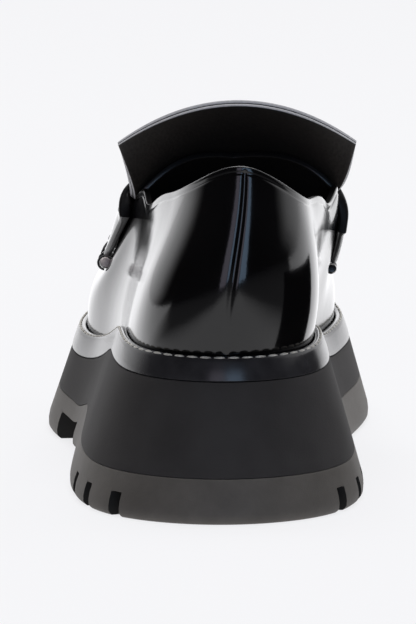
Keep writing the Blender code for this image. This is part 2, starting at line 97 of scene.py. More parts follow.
def curve_through(knots, values, period=None):
    """Smooth curve through the values at the knots, closed over a period or with free ends."""
    knots = np.asarray(knots, float)
    values = np.asarray(values, float)
    if period is not None:
        knots = np.append(knots, knots[0] + period)
        values = np.append(values, values[:1], axis=0)
    count = len(knots)
    steps = np.diff(knots)
    slopes = np.diff(values, axis=0) / steps[:, None]
    system = np.zeros((count, count))
    right = np.zeros((count, values.shape[1]))
    for i in range(1, count - 1):
        system[i, i - 1:i + 2] = steps[i - 1], 2 * (steps[i - 1] + steps[i]), steps[i]
        right[i] = 6 * (slopes[i] - slopes[i - 1])
    system[0, 0] = 1
    system[-1, -1] = 1
    if period is not None:
        system[0, -1] = -1
        system[-1, :2] = 2 * steps[0], steps[0]
        system[-1, -2:] = steps[-1], 2 * steps[-1]
        right[-1] = 6 * (slopes[0] - slopes[-1])
    bends = np.linalg.solve(system, right)

    def at(place):
        place = np.atleast_1d(np.asarray(place, float))
        if period is not None:
            place = knots[0] + (place - knots[0]) % period
        i = np.clip(np.searchsorted(knots, place, side="right") - 1, 0, count - 2)
        far = ((knots[i + 1] - place) / steps[i])[:, None]
        near = 1 - far
        bend = (far**3 - far) * bends[i] + (near**3 - near) * bends[i + 1]
        return far * values[i] + near * values[i + 1] + bend * (steps[i] ** 2)[:, None] / 6

    return at


def soft_step(share):
    share = np.clip(share, 0.0, 1.0)
    return share * share * (3 - 2 * share)


def toe_spring(along):
    return TOE_LIFT * (np.maximum(along - TOE_LIFT_FROM, 0) / (LAST_LENGTH - TOE_LIFT_FROM)) ** 2


def seat_height(along):
    fall = soft_step((along - SEAT_FALL[0]) / (SEAT_FALL[1] - SEAT_FALL[0]))
    return HEEL_SEAT + (BALL_SEAT - HEEL_SEAT) * fall + toe_spring(along)


def tread_height(along):
    arch = np.clip((along - ARCH[0]) / (ARCH[1] - ARCH[0]), 0, 1)
    return ARCH_RISE * np.sin(np.pi * arch) ** 2 + toe_spring(along)


last_feet = np.array([(row[2] * BALL_WIDTH, row[1] * LAST_LENGTH) for row in LAST_SECTIONS])
last_steps = np.linalg.norm(np.diff(last_feet, axis=0, append=last_feet[:1]), axis=1)
KNOTS = np.append(0.0, np.cumsum(last_steps[:-1]))
ROUND = last_steps.sum()
LAST_AT = curve_through(KNOTS, [row[1:] for row in LAST_SECTIONS], ROUND)


def foot_at(place):
    """Where the wall of the upper stands on its seat, for places around the last."""
    row = LAST_AT(place)
    along = row[:, 0] * LAST_LENGTH
    return np.stack((row[:, 1] * BALL_WIDTH, along, seat_height(along)), axis=1)


def outward(point_at, place):
    """Level direction out of the shoe, square to a line around it."""
    run = point_at(place + ROUND / 2000) - point_at(place - ROUND / 2000)
    out = np.stack((-run[:, 1], run[:, 0], np.zeros(len(run))), axis=1)
    return out / np.linalg.norm(out, axis=1, keepdims=True)


def sole_line(place, height, inset=0.0):
    """Points on the flared side of the sole at a height above the floor."""
    foot = foot_at(place)
    side = outward(foot_at, place)
    flare = FLARE_OUTER + (FLARE_INNER - FLARE_OUTER) * (1 + side[:, 0]) / 2
    out = GAP + WELT_WIDTH + (foot[:, 2] - height) * flare - inset
    line = foot + side * out[:, None]
    line[:, 2] = height
    return line


# The part's origin is under the middle of the sole's widest line, so every piece moves there
OUTSOLE_THICK = 0.0145
SHOULDER = 0.0052
around = np.linspace(0, ROUND, 1200, endpoint=False)
widest = sole_line(around, tread_height(foot_at(around)[:, 1]) + SHOULDER)
outsole_low, outsole_high = (np.array(corner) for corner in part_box("outsole"))
MIDDLE = np.array((*(widest[:, :2].min(0) + widest[:, :2].max(0)) / 2, 0.0))
MIDDLE[:2] -= (outsole_low + outsole_high)[:2] / 2


def grid_piece(bm, points, material=0):
    """A grid whose corners are moved to points[row, column], faces outwards with rows upwards."""
    rows, columns = points.shape[:2]
    made = bmesh.ops.create_grid(bm, x_segments=columns - 1, y_segments=rows - 1, size=1.0)
    for vert, point in zip(made["verts"], points[:, ::-1].reshape(-1, 3) - MIDDLE):
        vert.co = point
        for face in vert.link_faces:
            face.material_index = material
    return made["verts"]


SHARP_EDGE = 40


def new_piece(name, bm, materials, recalc=True, sharp=SHARP_EDGE):
    """Merges a mesh's seams, shades it and makes it an object of the scene."""
    bmesh.ops.remove_doubles(bm, verts=bm.verts, dist=0.00001)
    if recalc:
        bmesh.ops.recalc_face_normals(bm, faces=bm.faces)
    mesh = bpy.data.meshes.new(name)
    bm.to_mesh(mesh)
    bm.free()
    piece = bpy.data.objects.new(name, mesh)
    bpy.context.scene.collection.objects.link(piece)
    for material in materials:
        mesh.materials.append(material)
    shade(piece, sharp)
    return piece


def shade(piece, sharp):
    piece.data.polygons.foreach_set("use_smooth", [True] * len(piece.data.polygons))
    piece.data.set_sharp_from_angle(angle=math.radians(sharp))


def fasten(piece, slot, *nodes):
    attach(piece, "root")
    if nodes:
        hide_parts(*nodes)


def ink(code):
    """An sRGB hex colour as linear values."""
    shares = [int(code[i:i + 2], 16) / 255 for i in (1, 3, 5)]
    linear = [s / 12.92 if s <= 0.04045 else ((s + 0.055) / 1.055) ** 2.4 for s in shares]
    return (*linear, 1.0)


def add_node(tree, kind, settings, links=None):
    """Adds a node with its settings and with links from other outputs."""
    return set_up(tree, tree.nodes.new(kind), settings, links)


def set_up(tree, node, settings, links=None):
    """Sets a node's sockets, options or ramp stops and links other outputs to it."""
    for name, value in settings.items():
        if name == "stops":
            for element, (place, code) in zip(node.color_ramp.elements, value):
                element.position, element.color = place, ink(code)
        elif isinstance(name, int) or name in node.inputs:
            node.inputs[name].default_value = value
        else:
            setattr(node, name, value)
    for name, source in (links or {}).items():
        tree.links.new(source, node.inputs[name])
    return node


def new_material(name):
    material = bpy.data.materials.new(name)
    material.use_nodes = True
    tree = material.node_tree
    return material, tree, tree.nodes["Principled BSDF"]


# Moulded rubber: charcoal, matte, with the fine spark-eroded grit of its mould and a faint
# dusty mottle, so it looks greyer than the midsole above it.
MOULD_GRIT = 0.0005
RUBBER_MOTTLE = 0.014
outsole_rubber, tree, shader = new_material("moulded_rubber")
spot = add_node(tree, "ShaderNodeTexCoord", {}).outputs["Object"]
mottle = add_node(tree, "ShaderNodeTexNoise", {"Scale": 1 / RUBBER_MOTTLE, "Detail": 5.0, "Roughness": 0.65},
                  {"Vector": spot})
tint = add_node(tree, "ShaderNodeValToRGB", {"stops": ((0.35, "#4d4945"), (0.68, "#57534f"))},
                {"Fac": mottle.outputs["Fac"]})
grit = add_node(tree, "ShaderNodeTexNoise", {"Scale": 1 / MOULD_GRIT, "Detail": 2.0}, {"Vector": spot})
bump = add_node(tree, "ShaderNodeBump", {"Strength": 0.35, "Distance": 0.0002},
                {"Height": grit.outputs["Fac"]})
set_up(tree, shader, {"Roughness": 0.62, "IOR": 1.38},
       {"Base Color": tint.outputs["Color"], "Normal": bump.outputs["Normal"]})

# Notch shade: the same rubber coloured near black inside the cuts, painted shade so the cuts look black
notch_painted_shade, tree, shader = new_material("rubber_painted_notch_shade")
spot = add_node(tree, "ShaderNodeTexCoord", {}).outputs["Object"]
grit = add_node(tree, "ShaderNodeTexNoise", {"Scale": 1 / MOULD_GRIT, "Detail": 2.0}, {"Vector": spot})
tint = add_node(tree, "ShaderNodeValToRGB", {"stops": ((0.3, "#161515"), (0.7, "#1c1b1a"))},
                {"Fac": grit.outputs["Fac"]})
set_up(tree, shader, {"Roughness": 0.8, "IOR": 1.35}, {"Base Color": tint.outputs["Color"]})

# Notches of each zone: first one from heel or toe on the outer and the inner side, pitch,
# number on either side, width, height and depth
LUGS = (
    ("heel", 0.0416, 0.0466, 0.0190, 3, 3, 0.0046, 0.0078, 0.0090),
    ("toe", 0.0240, 0.0240, 0.0205, 5, 4, 0.0070, 0.0088, 0.0100),
    ("waist", 0.1595, 0.0, 0.0, 1, 0, 0.0305, 0.0088, 0.0100),
)
GROOVE_WIDTH = 0.0045
GROOVE_DEPTH = 0.0040
GROOVE_END = 0.004
EDGE_ROUND = 0.0015
ROUND_INSET = 0.0009
TREAD_INSET = 0.0028
MOULD_SOFTNESS = 0.0003
PLAIN_CREST = 0.0083
NOTCH_MARGIN = 0.0035
PLAIN_START = 0.006
BLIND_OVERLAP = 0.0029
NARROW_RUNG = 0.036

round_line = sole_line(around, tread_height(foot_at(around)[:, 1]) + EDGE_ROUND, ROUND_INSET)
round_steps = np.linalg.norm(np.diff(round_line[:, :2], axis=0, append=round_line[:1, :2]), axis=1)
round_run = np.append(0.0, np.cumsum(round_steps))
places_round = np.append(around, ROUND)
edge_whole = round_run[-1]
edge_toe = np.interp(KNOTS[TOE_TIP], places_round, round_run)

# The inner edge is walked in step with the outer one, so that notches of a pair share a rung
HEEL_FROM, HEEL_END, TOE_FROM = 0.036, 0.095, edge_toe - 0.118
walk_marks = [(0.0, edge_whole)]
notches = []
for zone, plain_outer, plain_inner, pitch, count_outer, count_inner, width, height, depth in LUGS:
    if zone == "heel":
        shift = plain_inner - plain_outer
        walk_marks += [(walk, edge_whole - walk - shift) for walk in (HEEL_FROM, HEEL_END)]
    for k in range(count_outer):
        walk = plain_outer + k * pitch
        walk = walk if zone == "heel" else edge_toe - walk
        notches.append((walk, width, height, depth, k < count_inner))
walk_marks += [(TOE_FROM, 2 * edge_toe - TOE_FROM), (edge_toe, edge_toe)]
notches.sort()

marks = [0.0, edge_toe]
for centre, width, _, _, _ in notches:
    for half in (width / 2, GROOVE_WIDTH / 2):
        for side in (-1, 1):
            marks += [centre + side * (half + offset) for offset in (-0.0004, 0.0004)]
marks = np.array(sorted(marks))
even = np.linspace(0, edge_toe, 150)
clear = np.abs(even[:, None] - marks[None]).min(1) > 0.0006
outer_walk = np.sort(np.append(marks, even[clear]))
inner_walk = np.interp(outer_walk, *np.array(walk_marks).T)


def notch_share(walk, half_width):
    return soft_step((half_width + MOULD_SOFTNESS - np.abs(walk)) / (2 * MOULD_SOFTNESS))


notched_outer, notched_inner, grooved = np.zeros((3, len(outer_walk)))
notch_height = np.full(len(outer_walk), PLAIN_CREST)
notch_depth = np.zeros(len(outer_walk))
for centre, width, height, depth, paired in notches:
    near = np.abs(outer_walk - centre) < width / 2 + NOTCH_MARGIN
    cut = notch_share(outer_walk - centre, width / 2)
    notched_outer = np.maximum(notched_outer, cut)
    if paired:
        notched_inner = np.maximum(notched_inner, cut)
        grooved = np.maximum(grooved, notch_share(outer_walk - centre, GROOVE_WIDTH / 2))
    notch_height[near] = height
    notch_depth[near] = depth


def outsole_side(walk, notched):
    """Rows of one side of the outsole from its top to the tread, and how far each is cut in."""
    place = np.interp(walk, round_run, places_round)
    tread = tread_height(foot_at(place)[:, 1])
    notch_floor = sole_line(place, tread + EDGE_ROUND, ROUND_INSET + notch_depth)
    rows, cuts = [], []
    for above, inset, cut in (
        (OUTSOLE_THICK - 0.0001, 0.0004, 0), (OUTSOLE_THICK - 0.0002, 0.0001, 0),
        (OUTSOLE_THICK - 0.0005, 0.0, 0), (notch_height + 0.0014, 0.0, 0),
        (notch_height + 0.0004, 0.0, 0), (notch_height + 0.0001, 0.0, 0.06),
        (notch_height - 0.0001, 0.0, 0.94), (notch_height - 0.0005, 0.0, 1),
        (SHOULDER, 0.0, 1), (0.0032, 0.0003, 1), (EDGE_ROUND, ROUND_INSET, 1),
        (0.0006, 0.0018, 1), (0.0, TREAD_INSET, 1),
    ):
        line = sole_line(place, tread + above, inset)
        step = (notched * cut)[:, None]
        moved = line * (1 - step) + notch_floor * step
        moved[:, 2] = tread + above
        rows.append(moved)
        cuts.append(step[:, 0])
    return np.array(rows), np.array(cuts)


outer_rows, outer_cuts = outsole_side(outer_walk, notched_outer)
inner_rows, inner_cuts = outsole_side(inner_walk, notched_inner)
outsole_wall = np.concatenate((outer_rows, inner_rows[:, ::-1][:, 1:]), axis=1)
wall_cuts = np.concatenate((outer_cuts, inner_cuts[:, ::-1][:, 1:]), axis=1)

# The tread runs in rungs from the outer to the inner side, and the grooves lie along them
outer_edge, inner_edge = outer_rows[-1], inner_rows[-1]
rung = inner_edge - outer_edge
rung_length = np.linalg.norm(rung, axis=1)
groove_start = np.where(notch_depth > 0, GROOVE_END, PLAIN_START)
groove_start = np.where(notched_inner > 0.5, groove_start, groove_start + notch_depth - BLIND_OVERLAP)
squeeze = np.minimum(1, rung_length / NARROW_RUNG)
begin = groove_start * squeeze
soft = MOULD_SOFTNESS * squeeze
stations = [(begin - soft) * 0.0, (begin - soft) * 0.5, begin - soft, begin + soft]
stations += [begin + soft + (rung_length - 2 * (begin + soft)) * share for share in (0.25, 0.5, 0.75)]
stations += [rung_length - begin - soft, rung_length - begin + soft]
stations += [rung_length - (begin - soft) * 0.5, rung_length]
outsole_tread = []
for k, station in enumerate(stations):
    line = outer_edge + rung * (station / np.maximum(rung_length, 1e-9))[:, None]
    inside = 3 <= k <= len(stations) - 4
    line[:, 2] = tread_height(line[:, 1]) + (GROOVE_DEPTH * grooved if inside else 0)
    outsole_tread.append(line)
outsole_tread[0], outsole_tread[-1] = outer_edge, inner_edge
outsole_top = np.array([outer_rows[0] * (1 - t) + inner_rows[0] * t for t in (0, 0.25, 0.5, 0.75, 1)])

bm = bmesh.new()
cut_in = {vert for vert, cut in zip(grid_piece(bm, outsole_wall), wall_cuts[:, ::-1].ravel()) if cut > 0.5}
# Faces cut into the notches take the near-black rubber, painted shade for the dark inside them
for face in bm.faces:
    face.material_index = int(sum(vert in cut_in for vert in face.verts) > 1)
grid_piece(bm, np.array(outsole_tread))
grid_piece(bm, outsole_top)
outsole = new_piece("outsole_lugs", bm, [outsole_rubber, notch_painted_shade], sharp=50)
fasten(outsole, "outsole_rubber", "outsole")


# Midsole: the flared platform between outsole and welt, one block of foamed rubber whose
# side is ground smooth after cementing, so it is a shade darker and duller than the outsole.
MIDSOLE_GRAIN = 0.0007
MIDSOLE_CLOUD = 0.020
MIDSOLE_ROWS, MIDSOLE_ROUND = 10, 0.0003
midsole_rubber, tree, shader = new_material("ground_foam_rubber")
spot = add_node(tree, "ShaderNodeTexCoord", {}).outputs["Object"]
cloud = add_node(tree, "ShaderNodeTexNoise", {"Scale": 1 / MIDSOLE_CLOUD, "Detail": 4.0},
                 {"Vector": spot})
tint = add_node(tree, "ShaderNodeValToRGB", {"stops": ((0.35, "#302e2e"), (0.68, "#373535"))},
                {"Fac": cloud.outputs["Fac"]})
ground = add_node(tree, "ShaderNodeTexNoise", {"Scale": 1 / MIDSOLE_GRAIN, "Detail": 3.0},
                  {"Vector": spot})
bump = add_node(tree, "ShaderNodeBump", {"Strength": 0.25, "Distance": 0.0002},
                {"Height": ground.outputs["Fac"]})
set_up(tree, shader, {"Roughness": 0.75, "IOR": 1.25},
       {"Base Color": tint.outputs["Color"], "Normal": bump.outputs["Normal"]})

sole_places = np.append(np.linspace(0, KNOTS[TOE_TIP], 140), np.linspace(KNOTS[TOE_TIP], ROUND, 140)[1:])


def block_rows(bottom, top, count, rounding):
    """Rows up the flared side of a sole, rounded over at the foot and the head."""
    eased = rounding * 0.3
    rows = [(bottom, rounding), (bottom + eased, eased)]
    rows += [(bottom + rounding + (top - bottom - 2 * rounding) * k / count, 0.0) for k in range(count + 1)]
    rows += [(top - eased, eased), (top, rounding)]
    return np.array([sole_line(sole_places, height, inset) for height, inset in rows])


def closing_rungs(line, parts=6):
    """A lid across a closed line, in rungs from its outer to its inner side."""
    half = len(line) // 2
    outer, inner = line[:half + 1], line[half:][::-1]
    return np.array([outer * (1 - t) + inner * t for t in np.linspace(0, 1, parts)])


sole_along = foot_at(sole_places)[:, 1]
midsole_rows = block_rows(tread_height(sole_along) + OUTSOLE_THICK, seat_height(sole_along) - GAP,
                          MIDSOLE_ROWS, MIDSOLE_ROUND)
bm = bmesh.new()
grid_piece(bm, midsole_rows)
grid_piece(bm, closing_rungs(midsole_rows[0]))
grid_piece(bm, closing_rungs(midsole_rows[-1]))
midsole = new_piece("midsole_block", bm, [midsole_rubber], sharp=50)
fasten(midsole, "midsole_rubber", "midsole")


# Welt: a polished black leather strip around the foot of the upper. A lockstitch of thick
# natural thread runs along its top, close to the upper, and holds it to the sole.
WELT_HEIGHT = 0.0076
WAX_MOTTLE = 0.006
welt_leather, tree, shader = new_material("waxed_welt_leather")
spot = add_node(tree, "ShaderNodeTexCoord", {}).outputs["Object"]
wear = add_node(tree, "ShaderNodeTexNoise", {"Scale": 1 / WAX_MOTTLE, "Detail": 4.0}, {"Vector": spot})
tint = add_node(tree, "ShaderNodeValToRGB", {"stops": ((0.35, "#262527"), (0.70, "#302f31"))},
                {"Fac": wear.outputs["Fac"]})
bump = add_node(tree, "ShaderNodeBump", {"Strength": 0.12, "Distance": 0.0003},
                {"Height": wear.outputs["Fac"]})
set_up(tree, shader, {"Roughness": 0.22, "IOR": 1.45},
       {"Base Color": tint.outputs["Color"], "Normal": bump.outputs["Normal"]})

# Profile of the strip, as shares of its width and height
WELT_PROFILE = (
    ("inner_foot", 0.00, 0.00), ("inner_top", 0.00, 0.90), ("inner_edge", 0.04, 0.95), ("crest", 0.12, 0.985),
    ("land", 0.26, 0.985), ("channel_in", 0.32, 0.965), ("channel", 0.40, 0.93), ("channel_out", 0.49, 0.935),
    ("shoulder", 0.56, 0.89), ("turn", 0.64, 0.775), ("face", 0.78, 0.52), ("face_low", 0.91, 0.28),
    ("lip", 0.97, 0.12), ("outer_foot", 1.00, 0.02), ("under", 0.98, 0.00),
)


def welt_line(place, out, up):
    foot = foot_at(place)
    line = foot + outward(foot_at, place) * (GAP + out * WELT_WIDTH)
    line[:, 2] = seat_height(foot[:, 1]) + up * WELT_HEIGHT
    return line


bm = bmesh.new()
welt_rows = [welt_line(sole_places, out, up) for _, out, up in WELT_PROFILE]
grid_piece(bm, np.array(welt_rows + welt_rows[:1]))
welt = new_piece("welt_strip", bm, [welt_leather])
fasten(welt, "welt_leather", "welt")

# Natural linen thread, waxed: off-white, dull, with the twist of its plies
THREAD_TWIST = 0.0008
linen_thread, tree, shader = new_material("waxed_linen_thread")
spot = add_node(tree, "ShaderNodeTexCoord", {}).outputs["Object"]
plies = add_node(tree, "ShaderNodeTexNoise", {"Scale": 1 / THREAD_TWIST, "Detail": 2.0},
                 {"Vector": spot})
tint = add_node(tree, "ShaderNodeValToRGB", {"stops": ((0.30, "#9a968e"), (0.70, "#c6c2ba"))},
                {"Fac": plies.outputs["Fac"]})
bump = add_node(tree, "ShaderNodeBump", {"Strength": 0.5, "Distance": 0.0002},
                {"Height": plies.outputs["Fac"]})
set_up(tree, shader, {"Roughness": 0.7, "Sheen Weight": 0.15},
       {"Base Color": tint.outputs["Color"], "Normal": bump.outputs["Normal"]})


def stitch_row(bm, line, normals, pitch, length, thick, sink):
    """Lays short rounded stitches along a line, sunk by a share into the surface under it."""
    run = np.append(0.0, np.cumsum(np.linalg.norm(np.diff(line, axis=0), axis=1)))
    count = int(run[-1] / pitch)
    spacing = run[-1] / count
    for k in range(count):
        ends = [spacing * (k + 0.5) + side * length / 2 for side in (-1, 1)]
        start, end = (Vector([np.interp(d, run, line[:, i]) for i in range(3)]) for d in ends)
        up = Vector([np.interp(spacing * (k + 0.5), run, normals[:, i]) for i in range(3)]).normalized()
        forward = (end - start).normalized()
        side = up.cross(forward).normalized()
        up = forward.cross(side)
        turn = Matrix.Identity(4)
        for axis, column in enumerate((side * thick / 2, up * thick / 2, forward * length / 2)):
            turn.col[axis][:3] = column
        turn.translation = (start + end) / 2 + up * thick * (0.5 - sink) - Vector(MIDDLE)
        bmesh.ops.create_uvsphere(bm, u_segments=8, v_segments=8, radius=1.0, matrix=turn)


UP = np.array((0.0, 0.0, 1.0))
WELT_PITCH = 0.0045
WELT_STITCH = 0.0037
WELT_THREAD = 0.00095
CHANNEL_OUT, CHANNEL_UP = 0.42, 0.93
stitch_places = np.linspace(0, ROUND, 700)
stitch_out = UP * 0.9 + outward(foot_at, stitch_places) * 0.45
bm = bmesh.new()
channel_line = welt_line(stitch_places, CHANNEL_OUT, CHANNEL_UP)
stitch_row(bm, channel_line, stitch_out, WELT_PITCH, WELT_STITCH, WELT_THREAD, sink=0.4)
welt_stitches = new_piece("welt_stitches", bm, [linen_thread], recalc=False)
fasten(welt_stitches, "welt_leather")


# Insole: a thin black leather sock on a firm board, laid in the shoe over the midsole and
# held by the foot of the upper. Its edge is skived and its middle a little hollowed.
LEATHER = 0.002
INSOLE_INSET = LEATHER + 0.0005
INSOLE_THICK = 0.003
SOCK_GRAIN = 0.0011
SOCK_WEAR = 0.03
SOCK_HOLLOW = 0.0006
SOCK_RUNGS = 16
sock_leather, tree, shader = new_material("matte_sock_leather")
spot = add_node(tree, "ShaderNodeTexCoord", {}).outputs["Object"]
pores = add_node(tree, "ShaderNodeTexVoronoi", {"Scale": 1 / SOCK_GRAIN}, {"Vector": spot})
wear = add_node(tree, "ShaderNodeTexNoise", {"Scale": 1 / SOCK_WEAR, "Detail": 4.0}, {"Vector": spot})
tint = add_node(tree, "ShaderNodeValToRGB", {"stops": ((0.35, "#1a1817"), (0.70, "#23201e"))},
                {"Fac": wear.outputs["Fac"]})
bump = add_node(tree, "ShaderNodeBump", {"Strength": 0.3, "Distance": 0.0002},
                {"Height": pores.outputs["Distance"]})
set_up(tree, shader, {"Roughness": 0.55, "IOR": 1.5},
       {"Base Color": tint.outputs["Color"], "Normal": bump.outputs["Normal"]})


def sock_line(inset, above):
    foot = foot_at(sole_places)
    line = foot - outward(foot_at, sole_places) * (INSOLE_INSET + inset)
    line[:, 2] = seat_height(foot[:, 1]) + above
    return line


bm = bmesh.new()
sock_rows = [sock_line(0, 0), sock_line(0, INSOLE_THICK * 0.6), sock_line(0.0005, INSOLE_THICK * 0.9),
             sock_line(0.0014, INSOLE_THICK)]
sock_lid = closing_rungs(sock_rows[-1], SOCK_RUNGS)
hollow = SOCK_HOLLOW * np.sin(np.pi * np.linspace(0, 1, SOCK_RUNGS))[:, None]
sock_lid[:, :, 2] = seat_height(sock_lid[:, :, 1]) + INSOLE_THICK - hollow
grid_piece(bm, np.array(sock_rows))
grid_piece(bm, closing_rungs(sock_rows[0]))
grid_piece(bm, sock_lid)
insole = new_piece("insole_sock", bm, [sock_leather])
fasten(insole, "insole_leather", "insole")


# Upper: polished black calf over its lining, sewn up the middle of the heel,
# pulled over the last and turned under at the welt. The collar edge is turned and pressed.
BACK_HEIGHT = 0.0678

# The crest of the vamp: share of the way to the toe, then its length and width as shares of
# the last and its height
RIDGE = (
    ("throat", 0.00, 0.500, 0.070, 0.1000),
    ("instep", 0.20, 0.597, 0.050, 0.0886),
    ("vamp", 0.40, 0.693, 0.038, 0.0792),
    ("toe_box", 0.60, 0.778, 0.038, 0.0728),
    ("toe_fall", 0.80, 0.831, 0.041, 0.0695),
    ("toe_end", 1.00, 0.863, 0.042, 0.0677),
)
RIDGE_AT = curve_through([row[1] for row in RIDGE], [row[2:] for row in RIDGE])


def rim_at(place):
    """The collar edge, or in front of the throat the seam of the apron."""
    row = LAST_AT(place)
    seat = seat_height(row[:, 0] * LAST_LENGTH)
    return np.stack((row[:, 3] * BALL_WIDTH, row[:, 2] * LAST_LENGTH, seat + row[:, 4] * BACK_HEIGHT), axis=1)


def ridge_at(share):
    along, across, height = RIDGE_AT(np.clip(share, 0, 1)).T
    return np.stack((across * BALL_WIDTH, along * LAST_LENGTH, height), axis=1)


def vamp_share(place):
    """Share of the way from the throat to the toe tip, on either side."""
    place = place % ROUND
    outer = (place - KNOTS[THROAT_OUTER]) / (KNOTS[TOE_TIP] - KNOTS[THROAT_OUTER])
    inner = (KNOTS[THROAT_INNER] - place) / (KNOTS[THROAT_INNER] - KNOTS[TOE_TIP])
    return np.clip(np.where(place <= KNOTS[TOE_TIP], outer, inner), 0, 1)


def on_side(side, share):
    """Place around the last for a share of the vamp, side -1 outer and 1 inner."""
    outer = KNOTS[THROAT_OUTER] + share * (KNOTS[TOE_TIP] - KNOTS[THROAT_OUTER])
    inner = KNOTS[THROAT_INNER] - share * (KNOTS[THROAT_INNER] - KNOTS[TOE_TIP])
    return np.where(np.asarray(side) < 0, outer, inner)


def bow(start, start_handle, end_handle, end, share):
    """A point on a curve that leaves and arrives along its handles."""
    rest = 1 - share
    return (start * rest**3 + start_handle * (3 * rest * rest * share)
            + end_handle * (3 * rest * share * share) + end * share**3)


FOOT_PULL, RIM_PULL, APRON_PULL, RIDGE_PULL = 0.38, 0.36, 0.38, 0.45


def skin(place, level):
    """Outer face of the upper: level 0 to 1 from welt to rim, 1 to 2 from rim to ridge."""
    row = LAST_AT(place)
    rim = rim_at(place)
    out = outward(rim_at, place)
    lean, roll = np.radians(row[:, 5:6]), np.radians(row[:, 6:7])
    wall_turn, apron_turn = (UP * np.sin(slope) - out * np.cos(slope) for slope in (lean, roll))
    start = foot_at(place) + UP * WELT_HEIGHT
    reach = np.linalg.norm(rim - start, axis=1, keepdims=True)
    push = outward(foot_at, place) * (row[:, 7:8] * BALL_WIDTH)
    level = level[:, None]
    wall = bow(start, start + push + UP * (FOOT_PULL * reach), rim - wall_turn * (RIM_PULL * reach), rim,
               np.minimum(level, 1))
    share = vamp_share(place)
    ridge = ridge_at(share)
    span = np.linalg.norm(ridge - rim, axis=1, keepdims=True)
    fall = ridge_at(share + 0.01) - ridge_at(share - 0.01)
    across = (ridge - rim) * (1, 1, 0)
    across /= np.linalg.norm(across, axis=1, keepdims=True)
    arrive = across + UP * (across[:, 1] * fall[:, 2] / fall[:, 1])[:, None]
    apron = bow(rim, rim + apron_turn * (APRON_PULL * span), ridge - arrive * (RIDGE_PULL * span), ridge,
                np.maximum(level - 1, 0))
    return np.where(level <= 1, wall, apron)


def skin_normal(place, level):
    level = np.minimum(level, 1.999)
    along = skin(place + ROUND / 1500, level) - skin(place - ROUND / 1500, level)
    up = skin(place, level + 0.0005) - skin(place, level - 0.0005)
    normal = np.cross(up, along)
    return normal / np.linalg.norm(normal, axis=1, keepdims=True)


# Columns around the last, close together at the back seam
SEAM_OFFSETS = np.array((0.0003, 0.0007, 0.0012, 0.0018, 0.0026, 0.0036, 0.0048))


def seam_columns(start, end, seam, count):
    close = np.concatenate((seam - SEAM_OFFSETS, [seam], seam + SEAM_OFFSETS))
    close = close[(close >= start) & (close <= end)]
    even = np.linspace(start, end, count)
    even = even[np.abs(even[:, None] - close[None]).min(1) > 0.0012]
    return np.unique(np.concatenate((close, even, [start, end])))


rear_outer = seam_columns(0, KNOTS[THROAT_OUTER], 0.0, 84)
rear_inner = seam_columns(KNOTS[THROAT_INNER], ROUND, ROUND, 84)
front_shares = 1 - (1 - np.linspace(0, 1, 84)) ** 1.15
front_outer = on_side(-1, front_shares)
front_inner = on_side(1, front_shares[::-1])
front = np.concatenate((front_outer, front_inner[1:]))
upper_places = np.concatenate((rear_outer[:-1], front, rear_inner[1:]))

FOLD_STEPS = np.array((0.0, 0.0006, 0.0012, 0.0017, 0.0021, 0.0024, 0.0027, 0.0031, 0.0036, 0.0044))
WALL_ROWS = 34
SEAM_DEPTH, SEAM_HALF_WIDTH = 0.00055, 0.0009
FOLD_DEPTH, FOLD_BELOW_RIM, FOLD_HALF_WIDTH = 0.00022, 0.0021, 0.0004
wall_reach = np.linalg.norm(rim_at(upper_places) - foot_at(upper_places) - UP * WELT_HEIGHT, axis=1)
fold_levels = 1 - FOLD_STEPS[::-1, None] / wall_reach[None]
low_levels = np.linspace(0, 1, WALL_ROWS)[:-1, None] * fold_levels[:1]
wall_levels = np.concatenate((low_levels, fold_levels))


def seam_relief(place):
    """The back seam lies in a narrow groove between its two turned edges."""
    back = (place + ROUND / 2) % ROUND - ROUND / 2
    return -SEAM_DEPTH * np.exp(-((back / SEAM_HALF_WIDTH) ** 2))


column_grid = np.tile(upper_places, (len(wall_levels), 1))
flat_places, flat_levels = column_grid.ravel(), wall_levels.ravel()
relief = seam_relief(flat_places)
below_rim = np.tile(wall_reach, (len(wall_levels), 1)).ravel() * (1 - flat_levels)
relief *= soft_step(below_rim / 0.004) * soft_step(flat_levels / 0.04)
relief -= FOLD_DEPTH * np.exp(-((below_rim - FOLD_BELOW_RIM) / FOLD_HALF_WIDTH) ** 2)
wall_normals = skin_normal(flat_places, np.minimum(flat_levels, 0.999))
wall_points = skin(flat_places, flat_levels) + wall_normals * relief[:, None]
wall_points = wall_points.reshape(*column_grid.shape, 3)
tuck_points = foot_at(upper_places)[None]

APRON_ROWS = 26
apron_levels = 1 + np.linspace(0, 1, APRON_ROWS)
apron_grid = np.tile(front, (APRON_ROWS, 1))
apron_points = skin(apron_grid.ravel(), np.repeat(apron_levels, len(front))).reshape(*apron_grid.shape, 3)

# Polished calf: near black, smooth, with pores too fine to feel, a soft unevenness of the
# hide that bends long reflections, and a thin hard finish coat.
CALF_PORES = 0.0008
HIDE_SWELL = 0.016
POLISH_CLOUD = 0.03
polished_calf, tree, shader = new_material("polished_black_calf")
spot = add_node(tree, "ShaderNodeTexCoord", {}).outputs["Object"]
pores = add_node(tree, "ShaderNodeTexVoronoi", {"Scale": 1 / CALF_PORES}, {"Vector": spot})
hide = add_node(tree, "ShaderNodeTexNoise", {"Scale": 1 / HIDE_SWELL, "Detail": 2.0}, {"Vector": spot})
polish = add_node(tree, "ShaderNodeTexNoise", {"Scale": 1 / POLISH_CLOUD, "Detail": 4.0},
                  {"Vector": spot})
tint = add_node(tree, "ShaderNodeValToRGB", {"stops": ((0.30, "#080708"), (0.75, "#0f0e0f"))},
                {"Fac": polish.outputs["Fac"]})
shine = add_node(tree, "ShaderNodeMapRange",
                 {"From Min": 0.3, "From Max": 0.7, "To Min": 0.09, "To Max": 0.14},
                 {"Value": polish.outputs["Fac"]})
